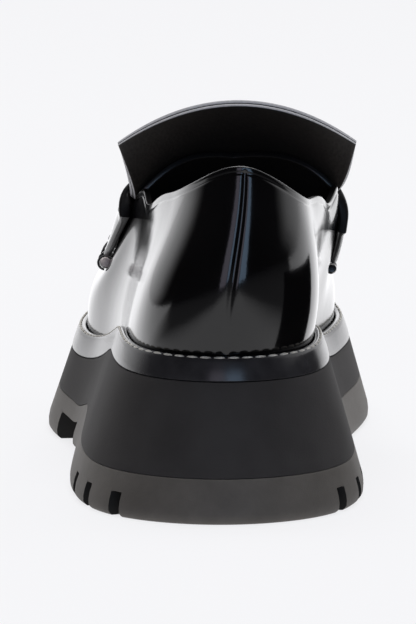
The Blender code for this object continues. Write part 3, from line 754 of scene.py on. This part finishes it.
swell = add_node(tree, "ShaderNodeBump", {"Strength": 0.10, "Distance": 0.0010},
                 {"Height": hide.outputs["Fac"]})
bump = add_node(tree, "ShaderNodeBump", {"Strength": 0.06, "Distance": 0.0001},
                {"Height": pores.outputs["Distance"], "Normal": swell.outputs["Normal"]})
set_up(tree, shader, {"IOR": 1.47, "Coat Weight": 0.12, "Coat Roughness": 0.06},
       {"Base Color": tint.outputs["Color"], "Roughness": shine.outputs["Result"],
        "Normal": bump.outputs["Normal"]})

# Lining: thin dyed goat, matte brownish black with a fine pebble
GOAT_PEBBLE = 0.0012
lining_goat, tree, shader = new_material("matte_goat_lining")
spot = add_node(tree, "ShaderNodeTexCoord", {}).outputs["Object"]
pebble = add_node(tree, "ShaderNodeTexVoronoi", {"Scale": 1 / GOAT_PEBBLE}, {"Vector": spot})
tint = add_node(tree, "ShaderNodeValToRGB", {"stops": ((0.0, "#282421"), (0.8, "#332e2a"))},
                {"Fac": pebble.outputs["Distance"]})
bump = add_node(tree, "ShaderNodeBump", {"Strength": 0.25, "Distance": 0.0002},
                {"Height": pebble.outputs["Distance"]})
set_up(tree, shader, {"Roughness": 0.5, "IOR": 1.5},
       {"Base Color": tint.outputs["Color"], "Normal": bump.outputs["Normal"]})

# Edge dye: cut edges are sanded, painted black and burnished, so they catch the light
LEATHER_FIBRE = 0.0009
edge_dye, tree, shader = new_material("burnished_edge_dye")
spot = add_node(tree, "ShaderNodeTexCoord", {}).outputs["Object"]
fibres = add_node(tree, "ShaderNodeTexNoise", {"Scale": 1 / LEATHER_FIBRE, "Detail": 3.0},
                  {"Vector": spot})
tint = add_node(tree, "ShaderNodeValToRGB", {"stops": ((0.3, "#0d0c0d"), (0.75, "#181718"))},
                {"Fac": fibres.outputs["Fac"]})
bump = add_node(tree, "ShaderNodeBump", {"Strength": 0.2, "Distance": 0.0001},
                {"Height": fibres.outputs["Fac"]})
set_up(tree, shader, {"Roughness": 0.28, "IOR": 1.5},
       {"Base Color": tint.outputs["Color"], "Normal": bump.outputs["Normal"]})


def give_thickness(piece, thickness, side, rounding):
    """Turns an open sheet of leather into a wall with lining and rounded edges."""
    wall = piece.modifiers.new("wall", "SOLIDIFY")
    wall.thickness = thickness
    wall.offset = side
    wall.material_offset = 1
    wall.material_offset_rim = 2
    round_edges(piece, rounding)


def round_edges(piece, rounding):
    """Rounds the edges where two finishes of a piece meet and keeps the result as its mesh."""
    solid = bpy.data.meshes.new_from_object(piece.evaluated_get(bpy.context.evaluated_depsgraph_get()))
    bm = bmesh.new()
    bm.from_mesh(solid)
    meeting = [edge for edge in bm.edges if len({face.material_index for face in edge.link_faces}) > 1]
    bmesh.ops.bevel(bm, geom=meeting, offset=rounding, offset_type="OFFSET", affect="EDGES", segments=3,
                    profile=0.5, clamp_overlap=False, material=-1)
    bm.to_mesh(solid)
    bm.free()
    piece.modifiers.clear()
    piece.data = solid
    shade(piece, SHARP_EDGE)


bm = bmesh.new()
grid_piece(bm, np.concatenate((tuck_points, wall_points)))
grid_piece(bm, apron_points)
upper = new_piece("upper_shell", bm, [polished_calf, lining_goat, edge_dye], recalc=False)
give_thickness(upper, LEATHER, side=-1, rounding=0.0005)
fasten(upper, "upper_leather", "upper")


# Apron seam: the plug of the vamp is drawn up against the wall by hand, so the two edges stand
# in a rounded ridge from one end of the strap round the toe to the other, whipped with thread.
APRON_RIDGE_HALF = 0.0021
APRON_RIDGE_LIFT = 0.0010
WHIP_PITCH = 0.0052
WHIP_THREAD = 0.0008
STRAP_FRONT_END = 0.1420
APRON_END_LEVELS = (0.82, 0.68)
APRON_DIP_SHARE = 0.12
WHIP_SLANT = 0.0012
WHIP_REACH = 0.30
apron_shares = np.linspace(0, 1, 900)
apron_line_places = np.concatenate((on_side(-1, apron_shares), on_side(1, apron_shares[::-1])[1:]))
apron_line_places = apron_line_places[rim_at(apron_line_places)[:, 1] > STRAP_FRONT_END - 0.0015]
apron_ahead = vamp_share(apron_line_places) - vamp_share(apron_line_places[[0, -1]])[:, None]
apron_dip = 1 - soft_step(apron_ahead / APRON_DIP_SHARE)
on_outer = apron_line_places <= KNOTS[TOE_TIP]
apron_levels_along = 1 - np.where(on_outer, (1 - APRON_END_LEVELS[0]) * apron_dip[0],
                                  (1 - APRON_END_LEVELS[1]) * apron_dip[1])


def sweep_frame(line, normals):
    """Unit vectors along, across and out of a line on the upper."""
    along = np.gradient(line, axis=0)
    along /= np.linalg.norm(along, axis=1, keepdims=True)
    across = np.cross(normals, along)
    across /= np.linalg.norm(across, axis=1, keepdims=True)
    return along, across, np.cross(along, across)


# Ridge end: the outer end of the ridge is coloured a pale pinkish grey, a painted highlight
ridge_end_painted_highlight, tree, shader = new_material("outer_ridge_end_painted_highlight")
spot = add_node(tree, "ShaderNodeTexCoord", {}).outputs["Object"]
fibres = add_node(tree, "ShaderNodeTexNoise", {"Scale": 1 / LEATHER_FIBRE, "Detail": 3.0},
                  {"Vector": spot})
tint = add_node(tree, "ShaderNodeValToRGB", {"stops": ((0.3, "#c4b8b6"), (0.75, "#dcd2d0"))},
                {"Fac": fibres.outputs["Fac"]})
bump = add_node(tree, "ShaderNodeBump", {"Strength": 0.3, "Distance": 0.0002},
                {"Height": fibres.outputs["Fac"]})
set_up(tree, shader, {"Roughness": 0.65},
       {"Base Color": tint.outputs["Color"], "Normal": bump.outputs["Normal"]})

seam_line = skin(apron_line_places, apron_levels_along)
seam_along, seam_across, seam_out = sweep_frame(seam_line, skin_normal(apron_line_places, apron_levels_along))
seam_run = np.append(0.0, np.cumsum(np.linalg.norm(np.diff(seam_line, axis=0), axis=1)))
pull = np.cos(2 * np.pi * seam_run / WHIP_PITCH)
end_taper = soft_step(np.minimum(seam_run, seam_run[-1] - seam_run) / 0.0015)
ridge_rows = []
for angle in np.linspace(0, 2 * np.pi, 21):
    half = (APRON_RIDGE_HALF + 0.00016 * pull) * (0.80 + 0.20 * end_taper)
    offset = (seam_across * (np.cos(angle) * half)[:, None] * 0.92
              + seam_out * (np.sin(angle) * half + APRON_RIDGE_LIFT)[:, None])
    ridge_rows.append(seam_line + offset)
bm = bmesh.new()
grid_piece(bm, np.array(ridge_rows)[:, ::3])
bmesh.ops.remove_doubles(bm, verts=bm.verts, dist=0.00001)
for face in bmesh.ops.holes_fill(bm, edges=bm.edges)["faces"]:
    # The outer end cap takes the pale grey, a painted highlight; the inner end cap keeps the dark edge dye
    face.material_index = 1 if face.calc_center_median().x < 0 else 2
apron_ridge = new_piece("apron_ridge", bm, [polished_calf, ridge_end_painted_highlight, edge_dye])
round_edges(apron_ridge, 0.0004)
fasten(apron_ridge, "upper_leather")

# Bonded thread: black, slightly glossy, too thin to show its twist from afar
BONDED_TWIST = 0.0005
bonded_thread, tree, shader = new_material("black_bonded_thread")
spot = add_node(tree, "ShaderNodeTexCoord", {}).outputs["Object"]
twist = add_node(tree, "ShaderNodeTexNoise", {"Scale": 1 / BONDED_TWIST, "Detail": 2.0},
                 {"Vector": spot})
tint = add_node(tree, "ShaderNodeValToRGB", {"stops": ((0.3, "#151415"), (0.7, "#252425"))},
                {"Fac": twist.outputs["Fac"]})
set_up(tree, shader, {"Roughness": 0.45}, {"Base Color": tint.outputs["Color"]})

bm = bmesh.new()
for k in range(int(seam_run[-1] / WHIP_PITCH)):
    here = (k + 0.5) * WHIP_PITCH
    i = int(np.searchsorted(seam_run, here))
    sweep = np.linspace(-WHIP_REACH, math.pi + WHIP_REACH, 13)
    slant = np.linspace(-0.5, 0.5, 13) * WHIP_SLANT
    thread_line = (seam_line[i] + np.outer(np.cos(sweep) * 1.06, seam_across[i]) * APRON_RIDGE_HALF
                   + np.outer(np.sin(sweep) * APRON_RIDGE_HALF * 1.1 + APRON_RIDGE_LIFT, seam_out[i])
                   + np.outer(slant, seam_along[i]))
    hoop_out = np.outer(np.cos(sweep), seam_across[i]) + np.outer(np.sin(sweep), seam_out[i])
    tube = []
    for angle in np.linspace(0, 2 * np.pi, 8):
        thread_out = hoop_out * np.cos(angle) + seam_along[i] * np.sin(angle)
        tube.append(thread_line + thread_out * WHIP_THREAD / 2)
    grid_piece(bm, np.array(tube))
apron_stitches = new_piece("apron_stitches", bm, [bonded_thread])
fasten(apron_stitches, "upper_leather")


# Tongue: a tall flap with square corners, calf outside and goat inside, their cut edges sanded
# together and coloured a pale grey, a painted highlight. It is sewn under the strap and stands free above the
# throat.
TONGUE_LIFT = 0.0006
TONGUE_THICK = 0.0026
# Where the tongue lies on the vamp: share of the way to the toe, and how far it reaches across
TONGUE_SEATS = (("front", 0.165, 0.58), ("under_strap", 0.095, 0.88), ("throat", 0.022, 1.00))
TONGUE_TOP_ALONG = 0.0985
TONGUE_TOP_HEIGHT = 0.1190
TONGUE_TOP_ACROSS = 0.0064
TONGUE_TOP_HALF_WIDTH = 0.0393
TONGUE_TOP_DROP = 0.0135
TONGUE_TOP_SWEEP = 0.004


def over_vamp(across, share, lift):
    """Points held off the vamp: across from -1 at the outer rim to 1 at the inner rim."""
    across, share, lift = (np.asarray(v, float) for v in np.broadcast_arrays(across, share, lift))
    place = on_side(np.where(across < 0, -1, 1), share)
    level = 2 - np.abs(across)
    outer = skin_normal(on_side(-1, share), np.full(len(share), 1.98))
    inner = skin_normal(on_side(1, share), np.full(len(share), 1.98))
    blend = soft_step(np.abs(across) / 0.06)[:, None]
    normal = skin_normal(place, np.minimum(level, 1.98)) * blend + (outer + inner) * (1 - blend) / 2
    normal /= np.linalg.norm(normal, axis=1, keepdims=True)
    return skin(place, level) + normal * lift[:, None]


TONGUE_COLUMNS, TONGUE_ROWS = 64, 54
tongue_across = np.linspace(-1, 1, TONGUE_COLUMNS + 1)
tongue_marks = [over_vamp(tongue_across * reach, share, TONGUE_LIFT) for _, share, reach in TONGUE_SEATS]
tongue_marks.append(np.stack((
    TONGUE_TOP_ACROSS + tongue_across * TONGUE_TOP_HALF_WIDTH,
    TONGUE_TOP_ALONG + TONGUE_TOP_SWEEP * tongue_across**2,
    TONGUE_TOP_HEIGHT - TONGUE_TOP_DROP * tongue_across**2,
), axis=1))
tongue_marks = np.array(tongue_marks)
tongue_lines = []
for k in range(TONGUE_COLUMNS + 1):
    marks = tongue_marks[:, k]
    run = np.append(0.0, np.cumsum(np.linalg.norm(np.diff(marks, axis=0), axis=1)))
    tongue_lines.append(curve_through(run, marks)(np.linspace(0, run[-1], TONGUE_ROWS + 1)))
tongue_sheet = np.array(tongue_lines).transpose(1, 0, 2)


def sheet_normals(points):
    """Unit normals of a sheet of points, rows by columns."""
    normal = np.cross(np.gradient(points, axis=0), np.gradient(points, axis=1))
    return normal / np.linalg.norm(normal, axis=2, keepdims=True)


# Tongue edge: the cut edge is coloured a pale grey, a painted highlight that shows as a pale line
tongue_edge_painted_highlight, tree, shader = new_material("pale_painted_highlight_edge")
spot = add_node(tree, "ShaderNodeTexCoord", {}).outputs["Object"]
fibres = add_node(tree, "ShaderNodeTexNoise", {"Scale": 1 / LEATHER_FIBRE, "Detail": 3.0},
                  {"Vector": spot})
tint = add_node(tree, "ShaderNodeValToRGB", {"stops": ((0.3, "#98979a"), (0.75, "#adacaf"))},
                {"Fac": fibres.outputs["Fac"]})
set_up(tree, shader, {"Roughness": 0.5}, {"Base Color": tint.outputs["Color"]})

tongue_out = sheet_normals(tongue_sheet)
tongue_out *= np.sign(tongue_out[:, :, 2].mean())
for name, base, thick, face_leather, nodes in (
        ("tongue_lining", 0.0, 0.00115, lining_goat, ()),
        ("tongue_calf", 0.00123, 0.00137, polished_calf, ("tongue",))):
    bm = bmesh.new()
    grid_piece(bm, tongue_sheet + tongue_out * base)
    # The cut edges of both layers take the pale grey, a painted highlight
    layer = new_piece(name, bm, [face_leather, lining_goat, tongue_edge_painted_highlight], recalc=False)
    give_thickness(layer, thick, side=1, rounding=0.00028)
    fasten(layer, "tongue_leather", *nodes)


# Saddle strap: a wide padded band of the same calf over tongue and vamp, its ends sewn down on
# the apron seam. Its edges are dyed, the rear one is rolled at the ends, and black stitches run
# along both.
STRAP_THICK, STRAP_ROUND = 0.0024, 0.0009
STRAP_REAR_MIDDLE, STRAP_REAR_END = 0.1255, 0.1165
STRAP_FRONT_MIDDLE = 0.1500
STRAP_REACH_OUTER, STRAP_REACH_INNER = 1.12, 1.28
STRAP_BEAD = 0.0009
STRAP_STITCH_PITCH, STRAP_STITCH, STRAP_THREAD = 0.0025, 0.0020, 0.0005
STRAP_COLUMNS, STRAP_ROWS, STRAP_SMOOTHING = 110, 30, 7
strap_reach, strap_back = (v.ravel() for v in np.meshgrid(
    np.linspace(-1, 1, STRAP_COLUMNS + 1), np.linspace(0, 1, STRAP_ROWS + 1)))


def strap_points(reach, back, raise_by, hugging):
    """Points on the strap, reach from -1 at the outer end to 1, back from its front edge.

    The underside hugs the tongue's edges, the top runs over them in a slow curve of padding.
    """
    end = reach**2
    across = reach * np.where(reach < 0, STRAP_REACH_OUTER, STRAP_REACH_INNER)
    rear = STRAP_REAR_MIDDLE + (STRAP_REAR_END - STRAP_REAR_MIDDLE) * end
    front = STRAP_FRONT_MIDDLE + (STRAP_FRONT_END - STRAP_FRONT_MIDDLE) * end
    along = front + (rear - front) * back
    low, high = np.zeros(len(across)), np.full(len(across), 0.6)
    for _ in range(40):
        share = (low + high) / 2
        short = skin(on_side(np.where(across < 0, -1, 1), share), 2 - np.abs(across))[:, 1] < along
        low, high = np.where(short, share, low), np.where(short, high, share)
    over_tongue = TONGUE_LIFT + TONGUE_THICK + GAP * 1.5
    tongue_edge = np.interp(share, *zip(*[row[1:] for row in reversed(TONGUE_SEATS)]))
    if hugging:
        down = soft_step((np.abs(across) - np.maximum(tongue_edge, 0.70) - 0.02) / 0.05)
    else:
        down = soft_step((np.abs(across) - 0.68 - 0.20 * back) / (0.42 - 0.12 * back))
    lift = over_tongue + (GAP * 1.5 - over_tongue) * down
    return over_vamp(across, share, lift + raise_by)


strap_under, strap_over = (
    strap_points(strap_reach, strap_back, raise_by, hugging).reshape(STRAP_ROWS + 1, STRAP_COLUMNS + 1, 3)
    for raise_by, hugging in ((0.0, True), (STRAP_THICK, False)))
soft_window = np.hanning(2 * STRAP_SMOOTHING + 1)
soft_window /= soft_window.sum()
for row in strap_over:
    longer = np.pad(row, ((STRAP_SMOOTHING, STRAP_SMOOTHING), (0, 0)), "reflect", reflect_type="odd")
    row[:] = np.stack([np.convolve(column, soft_window, "valid") for column in longer.T], axis=1)
strap_out = sheet_normals(strap_over)
strap_out *= np.sign(strap_out[:, :, 2].mean())
bead = np.exp(-((1 - strap_back) / 0.10) ** 2) * soft_step((np.abs(strap_reach) - 0.74) / 0.16)
strap_over += strap_out * (STRAP_BEAD * bead).reshape(strap_over.shape[:2])[:, :, None]
bm = bmesh.new()
grid_piece(bm, strap_over, 0)
grid_piece(bm, strap_under[::-1], 1)
for edge in (0, -1):
    grid_piece(bm, np.array((strap_under[edge], strap_over[edge])), 2)
    grid_piece(bm, np.array((strap_under[:, edge], strap_over[:, edge])), 2)
strap = new_piece("saddle_band", bm, [polished_calf, lining_goat, edge_dye])
round_edges(strap, STRAP_ROUND)
fasten(strap, "strap_leather", "saddle_strap")

bm = bmesh.new()
for row in (3, STRAP_ROWS - 3):
    stitch_row(bm, strap_over[row, 3:-3], strap_out[row, 3:-3],
               STRAP_STITCH_PITCH, STRAP_STITCH, STRAP_THREAD, sink=0.5)
strap_stitches = new_piece("saddle_stitches", bm, [bonded_thread], recalc=False)
fasten(strap_stitches, "strap_leather")


# Tassels: a rolled knot of lace on the vamp in front of the strap, and from it two tassels of
# slit calf, each with a knotted head, a wound neck and a fringe that lies on the vamp.
KNOT_SHARE, KNOT_LIFT, KNOT_LENGTH, KNOT_RADIUS = 0.244, 0.0004, 0.0180, 0.0029
TASSEL_SHARES, TASSEL_SPREADS = (0.279, 0.500), (0.15, 0.33)
TASSEL_HEM, TASSEL_FLATNESS, TASSEL_LIFT, TASSEL_LENGTH = 0.0079, 0.56, 0.0005, 0.0350
FRINGE_STRIPS, FRINGE_TOP, FRINGE_THICK = 20, 0.0104, 0.0009
KNOT_TURNS = 6

knot_centre = over_vamp(np.array([0.0]), KNOT_SHARE, KNOT_RADIUS + KNOT_LIFT)[0]
knot_steps = np.linspace(-0.5, 0.5, 81)
knot_rows = []
for angle in np.linspace(0, 2 * np.pi, 33):
    turns = np.cos(2 * np.pi * (knot_steps * KNOT_TURNS) - angle)
    ends = np.sqrt(np.clip(1 - (np.abs(knot_steps) * 2) ** 8, 0.02, 1))
    radius = KNOT_RADIUS * (0.90 + 0.09 * np.sqrt(np.abs(turns))) * ends
    knot_rows.append(knot_centre + np.stack((
        knot_steps * KNOT_LENGTH, np.cos(angle) * radius, np.sin(angle) * radius), axis=1))
bm = bmesh.new()
grid_piece(bm, np.array(knot_rows))
bmesh.ops.remove_doubles(bm, verts=bm.verts, dist=0.00001)
bmesh.ops.holes_fill(bm, edges=bm.edges)
knot = new_piece("tassel_lace_knot", bm, [polished_calf])
fasten(knot, "tassel_leather", "tassel_knot")

# Head and wound neck of a tassel: distance down from its top, and radius
HEAD_PROFILE = (
    (0.0000, 0.0012), (0.0004, 0.0028), (0.0014, 0.0041), (0.0030, 0.0048),
    (0.0044, 0.0050), (0.0058, 0.0047), (0.0069, 0.0041), (0.0074, 0.0037),
    (0.0079, 0.0042), (0.0085, 0.0037), (0.0091, 0.0043), (0.0097, 0.0038),
    (0.0103, 0.0044), (0.0110, 0.0036), (0.0150, 0.0030), (0.0300, 0.0020),
)

# Outline of a fringe strip: across its width and through its thickness
STRIP_OUTLINE = ((-1, 0), (0, 0), (1, 0), (1, 1), (0, 1), (-1, 1), (-1, 0))
for name, side in (("tassel_outer", -1), ("tassel_inner", 1)):
    lift = TASSEL_HEM * TASSEL_FLATNESS + TASSEL_LIFT
    top = over_vamp(np.array([side * TASSEL_SPREADS[0]]), TASSEL_SHARES[0], lift)[0]
    hem = over_vamp(np.array([side * TASSEL_SPREADS[1]]), TASSEL_SHARES[1], lift)[0]
    middle_share = np.array([sum(TASSEL_SHARES) / 2])
    up = skin_normal(on_side(side, middle_share), np.array([2 - sum(TASSEL_SPREADS) / 2]))[0]
    down = (hem - top) / np.linalg.norm(hem - top)
    sideways = np.cross(down, up)
    sideways /= np.linalg.norm(sideways)
    up = np.cross(sideways, down)

    def hang(angle, radius, along):
        """A point of the tassel at an angle round its axis, flattened on the vamp."""
        return (top + np.multiply.outer(np.cos(angle) * radius, sideways)
                + np.multiply.outer(np.sin(angle) * radius * TASSEL_FLATNESS, up)
                + np.multiply.outer(along, down))

    head = np.array(HEAD_PROFILE)
    bm = bmesh.new()
    rows = []
    for angle in np.linspace(0, 2 * np.pi, 41):
        plait = 1 + 0.05 * np.cos(6 * angle + head[:, 0] * 900) * (head[:, 0] < 0.007) * (head[:, 0] > 0.0003)
        rows.append(hang(np.full(len(head), angle), head[:, 1] * plait, head[:, 0]))
    grid_piece(bm, np.array(rows))
    bmesh.ops.remove_doubles(bm, verts=bm.verts, dist=0.00001)
    bmesh.ops.holes_fill(bm, edges=bm.edges)
    bmesh.ops.recalc_face_normals(bm, faces=bm.faces)
    draw = np.random.default_rng(7 + side)
    steps = np.linspace(0, 1, 9)
    for k in range(FRINGE_STRIPS):
        angle = 2 * np.pi * (k + 0.5) / FRINGE_STRIPS
        length = (TASSEL_LENGTH - FRINGE_TOP) * draw.uniform(0.95, 1.0)
        fan = angle + draw.uniform(-0.06, 0.06) * steps
        radius = 0.0043 + (TASSEL_HEM - 0.0048) * steps ** 0.75 + draw.uniform(-0.0004, 0.0002) * steps
        half = 0.5 * 2 * np.pi / FRINGE_STRIPS * 0.86
        strip = [hang(fan + across * half, radius - depth * FRINGE_THICK, FRINGE_TOP + length * steps)
                 for across, depth in STRIP_OUTLINE]
        part = bmesh.new()
        grid_piece(part, np.array(strip))
        bmesh.ops.remove_doubles(part, verts=part.verts, dist=0.000001)
        bmesh.ops.holes_fill(part, edges=part.edges)
        bmesh.ops.recalc_face_normals(part, faces=part.faces)
        strip_mesh = bpy.data.meshes.new("strip")
        part.to_mesh(strip_mesh)
        part.free()
        bm.from_mesh(strip_mesh)
        bpy.data.meshes.remove(strip_mesh)
    tassel = new_piece(name + "_fringe", bm, [polished_calf], recalc=False)
    fasten(tassel, "tassel_leather", name)


# Studio: a pale seamless floor under a soft box, with the room bright ahead of the toe and
# dark behind the heel, and two dim windows there. None of it is part of the shoe.
PALE = "#f5f5f7"
FLOOR_GLOW, FLOOR_GLOW_MIRRORED = 0.86, 0.55
floor_bm = bmesh.new()
bmesh.ops.create_circle(floor_bm, cap_ends=True, segments=96, radius=30.0)
floor_mesh = bpy.data.meshes.new("floor")
floor_bm.to_mesh(floor_mesh)
floor_bm.free()
floor = bpy.data.objects.new("floor", floor_mesh)
bpy.context.scene.collection.objects.link(floor)
floor_paper, tree, shader = new_material("pale_paper_sweep")

# The leather mirrors a pool of light close round the shoe and the bright floor ahead of it
spot = add_node(tree, "ShaderNodeTexCoord", {}).outputs["Object"]
parts = add_node(tree, "ShaderNodeSeparateXYZ", {}, {"Vector": spot}).outputs
aside = add_node(tree, "ShaderNodeMath", {"operation": "ABSOLUTE"}, {0: parts["X"]}).outputs["Value"]
middle = add_node(tree, "ShaderNodeMapRange",
                  {"interpolation_type": "SMOOTHSTEP", "From Min": 0.26, "From Max": 0.09},
                  {"Value": aside}).outputs["Result"]
close = add_node(tree, "ShaderNodeMapRange",
                 {"interpolation_type": "SMOOTHSTEP", "From Min": -1.3, "From Max": -0.4},
                 {"Value": parts["Y"]}).outputs["Result"]
ahead = add_node(tree, "ShaderNodeMapRange",
                 {"interpolation_type": "SMOOTHSTEP", "From Min": -0.15, "From Max": 0.05},
                 {"Value": parts["Y"]}).outputs["Result"]
pool = add_node(tree, "ShaderNodeMath", {"operation": "MULTIPLY"},
                {0: middle, 1: close}).outputs["Value"]
pool = add_node(tree, "ShaderNodeMath", {"operation": "MAXIMUM"}, {0: pool, 1: ahead}).outputs["Value"]
path = add_node(tree, "ShaderNodeLightPath", {}).outputs
pool = add_node(tree, "ShaderNodeMath", {"operation": "MAXIMUM"},
                {0: pool, 1: path["Is Camera Ray"]}).outputs["Value"]
lit = add_node(tree, "ShaderNodeMath", {"operation": "MULTIPLY", 1: FLOOR_GLOW},
               {0: pool}).outputs["Value"]
mirrored = add_node(tree, "ShaderNodeMath", {"operation": "MULTIPLY"},
                    {0: ahead, 1: path["Is Glossy Ray"]}).outputs["Value"]
lit = add_node(tree, "ShaderNodeMath", {"operation": "MULTIPLY_ADD", 1: FLOOR_GLOW_MIRRORED},
               {0: mirrored, 2: lit}).outputs["Value"]
set_up(tree, shader, {"Base Color": ink("#616162"), "Roughness": 0.9, "Specular IOR Level": 0.0,
                      "Emission Color": ink(PALE)}, {"Emission Strength": lit})
floor_mesh.materials.append(floor_paper)

scene = bpy.context.scene
world = bpy.data.worlds.new("studio")
scene.world = world
world.use_nodes = True
tree = world.node_tree
backdrop = tree.nodes["Background"]

# The room brightens towards the toe, and higher up it does so sooner, most on the inner side
facing = add_node(tree, "ShaderNodeTexCoord", {}).outputs["Generated"]
aim = add_node(tree, "ShaderNodeSeparateXYZ", {}, {"Vector": facing}).outputs
higher = add_node(tree, "ShaderNodeMapRange", {"From Min": -0.10, "From Max": 0.08},
                  {"Value": aim["Z"]}).outputs["Result"]
inner = add_node(tree, "ShaderNodeMapRange",
                 {"From Min": -0.2, "From Max": 0.2, "To Min": 0.25, "To Max": 0.75},
                 {"Value": aim["X"]}).outputs["Result"]
depth = add_node(tree, "ShaderNodeMath", {"operation": "MULTIPLY_ADD"},
                 {0: higher, 1: inner, 2: aim["Y"]}).outputs["Value"]
rise = add_node(tree, "ShaderNodeMapRange",
                {"interpolation_type": "SMOOTHSTEP", "From Min": 0.45, "From Max": 0.97,
                 "To Min": 0.012, "To Max": 1.1}, {"Value": depth}).outputs["Result"]
peak = add_node(tree, "ShaderNodeMapRange",
                {"interpolation_type": "SMOOTHSTEP", "From Min": 0.94, "From Max": 0.99,
                 "To Min": 0.0, "To Max": 1.5}, {"Value": aim["Y"]}).outputs["Result"]
glow = add_node(tree, "ShaderNodeMath", {"operation": "ADD"}, {0: rise, 1: peak}).outputs["Value"]
seen = add_node(tree, "ShaderNodeLightPath", {}).outputs["Is Camera Ray"]
lit = add_node(tree, "ShaderNodeMath", {"operation": "MAXIMUM"}, {0: glow, 1: seen}).outputs["Value"]
set_up(tree, backdrop, {"Color": ink(PALE)}, {"Strength": lit})

SHOE_MIDDLE = Vector((0, 0, 0.06))


def soft_box(name, place, width, height, radiance, colour):
    """A rectangular light aimed at the shoe, with the brightness of its face."""
    lamp = bpy.data.lights.new(name, "AREA")
    lamp.shape = "RECTANGLE"
    lamp.size = width
    lamp.size_y = height
    lamp.energy = radiance * math.pi * width * height
    lamp.color = ink(colour)[:3]
    light = bpy.data.objects.new(name, lamp)
    light.location = place
    light.rotation_euler = (SHOE_MIDDLE - Vector(place)).to_track_quat("-Z", "Y").to_euler()
    scene.collection.objects.link(light)


soft_box("top_soft_box", (0.0, 0.4, 2.4), 1.8, 1.2, 8.0, "#ffffff")
soft_box("cool_window", (0.80, -4.0, 0.95), 1.5, 1.9, 2.6, "#b4d2f4")
soft_box("dim_window", (-0.75, -4.0, 0.95), 1.3, 1.9, 1.5, "#dcd6ea")

# A black card beside the inner side deepens the reflections in the heel and ends them sharply
CARD_PLACE = (0.095, -0.075, 0.038)
CARD_HEIGHT, CARD_LENGTH = 0.072, 0.110
card_bm = bmesh.new()
bmesh.ops.create_grid(card_bm, x_segments=1, y_segments=1, size=0.5,
                      matrix=Matrix.Translation(CARD_PLACE) @ Matrix.Rotation(math.pi / 2, 4, "Y")
                      @ Matrix.Diagonal((CARD_HEIGHT, CARD_LENGTH, 1.0, 1.0)))
card_mesh = bpy.data.meshes.new("black_card")
card_bm.to_mesh(card_mesh)
card_bm.free()
card = bpy.data.objects.new("black_card", card_mesh)
scene.collection.objects.link(card)
card_black, tree, shader = new_material("black_flock_card")
set_up(tree, shader, {"Base Color": ink("#0d0d0d"), "Roughness": 1.0, "Specular IOR Level": 0.0})
card_mesh.materials.append(card_black)
card.visible_camera = card.visible_diffuse = card.visible_shadow = False

PHOTO_HEIGHT = 624
CAMERA_AZIMUTH, CAMERA_ELEVATION = math.radians(-1.52), math.radians(8.9)
CAMERA_DISTANCE = 2.99
PIXELS_PER_MM = 3.0
SENSOR = 36.0
CAMERA_AIM = Vector((-0.002, 0, 0.0467))
back = Vector((math.sin(CAMERA_AZIMUTH) * math.cos(CAMERA_ELEVATION),
               -math.cos(CAMERA_AZIMUTH) * math.cos(CAMERA_ELEVATION), math.sin(CAMERA_ELEVATION)))
lens = bpy.data.cameras.new("camera")
lens.sensor_width = SENSOR
lens.lens = PIXELS_PER_MM * 1000 * CAMERA_DISTANCE * SENSOR / PHOTO_HEIGHT
lens.clip_start, lens.clip_end = 0.05, 200.0
camera = bpy.data.objects.new("camera", lens)
camera.location = SHOE_MIDDLE + back * CAMERA_DISTANCE
camera.rotation_euler = (CAMERA_AIM - camera.location).to_track_quat("-Z", "Y").to_euler()
scene.collection.objects.link(camera)
scene.camera = camera
scene.view_settings.view_transform = "Standard"
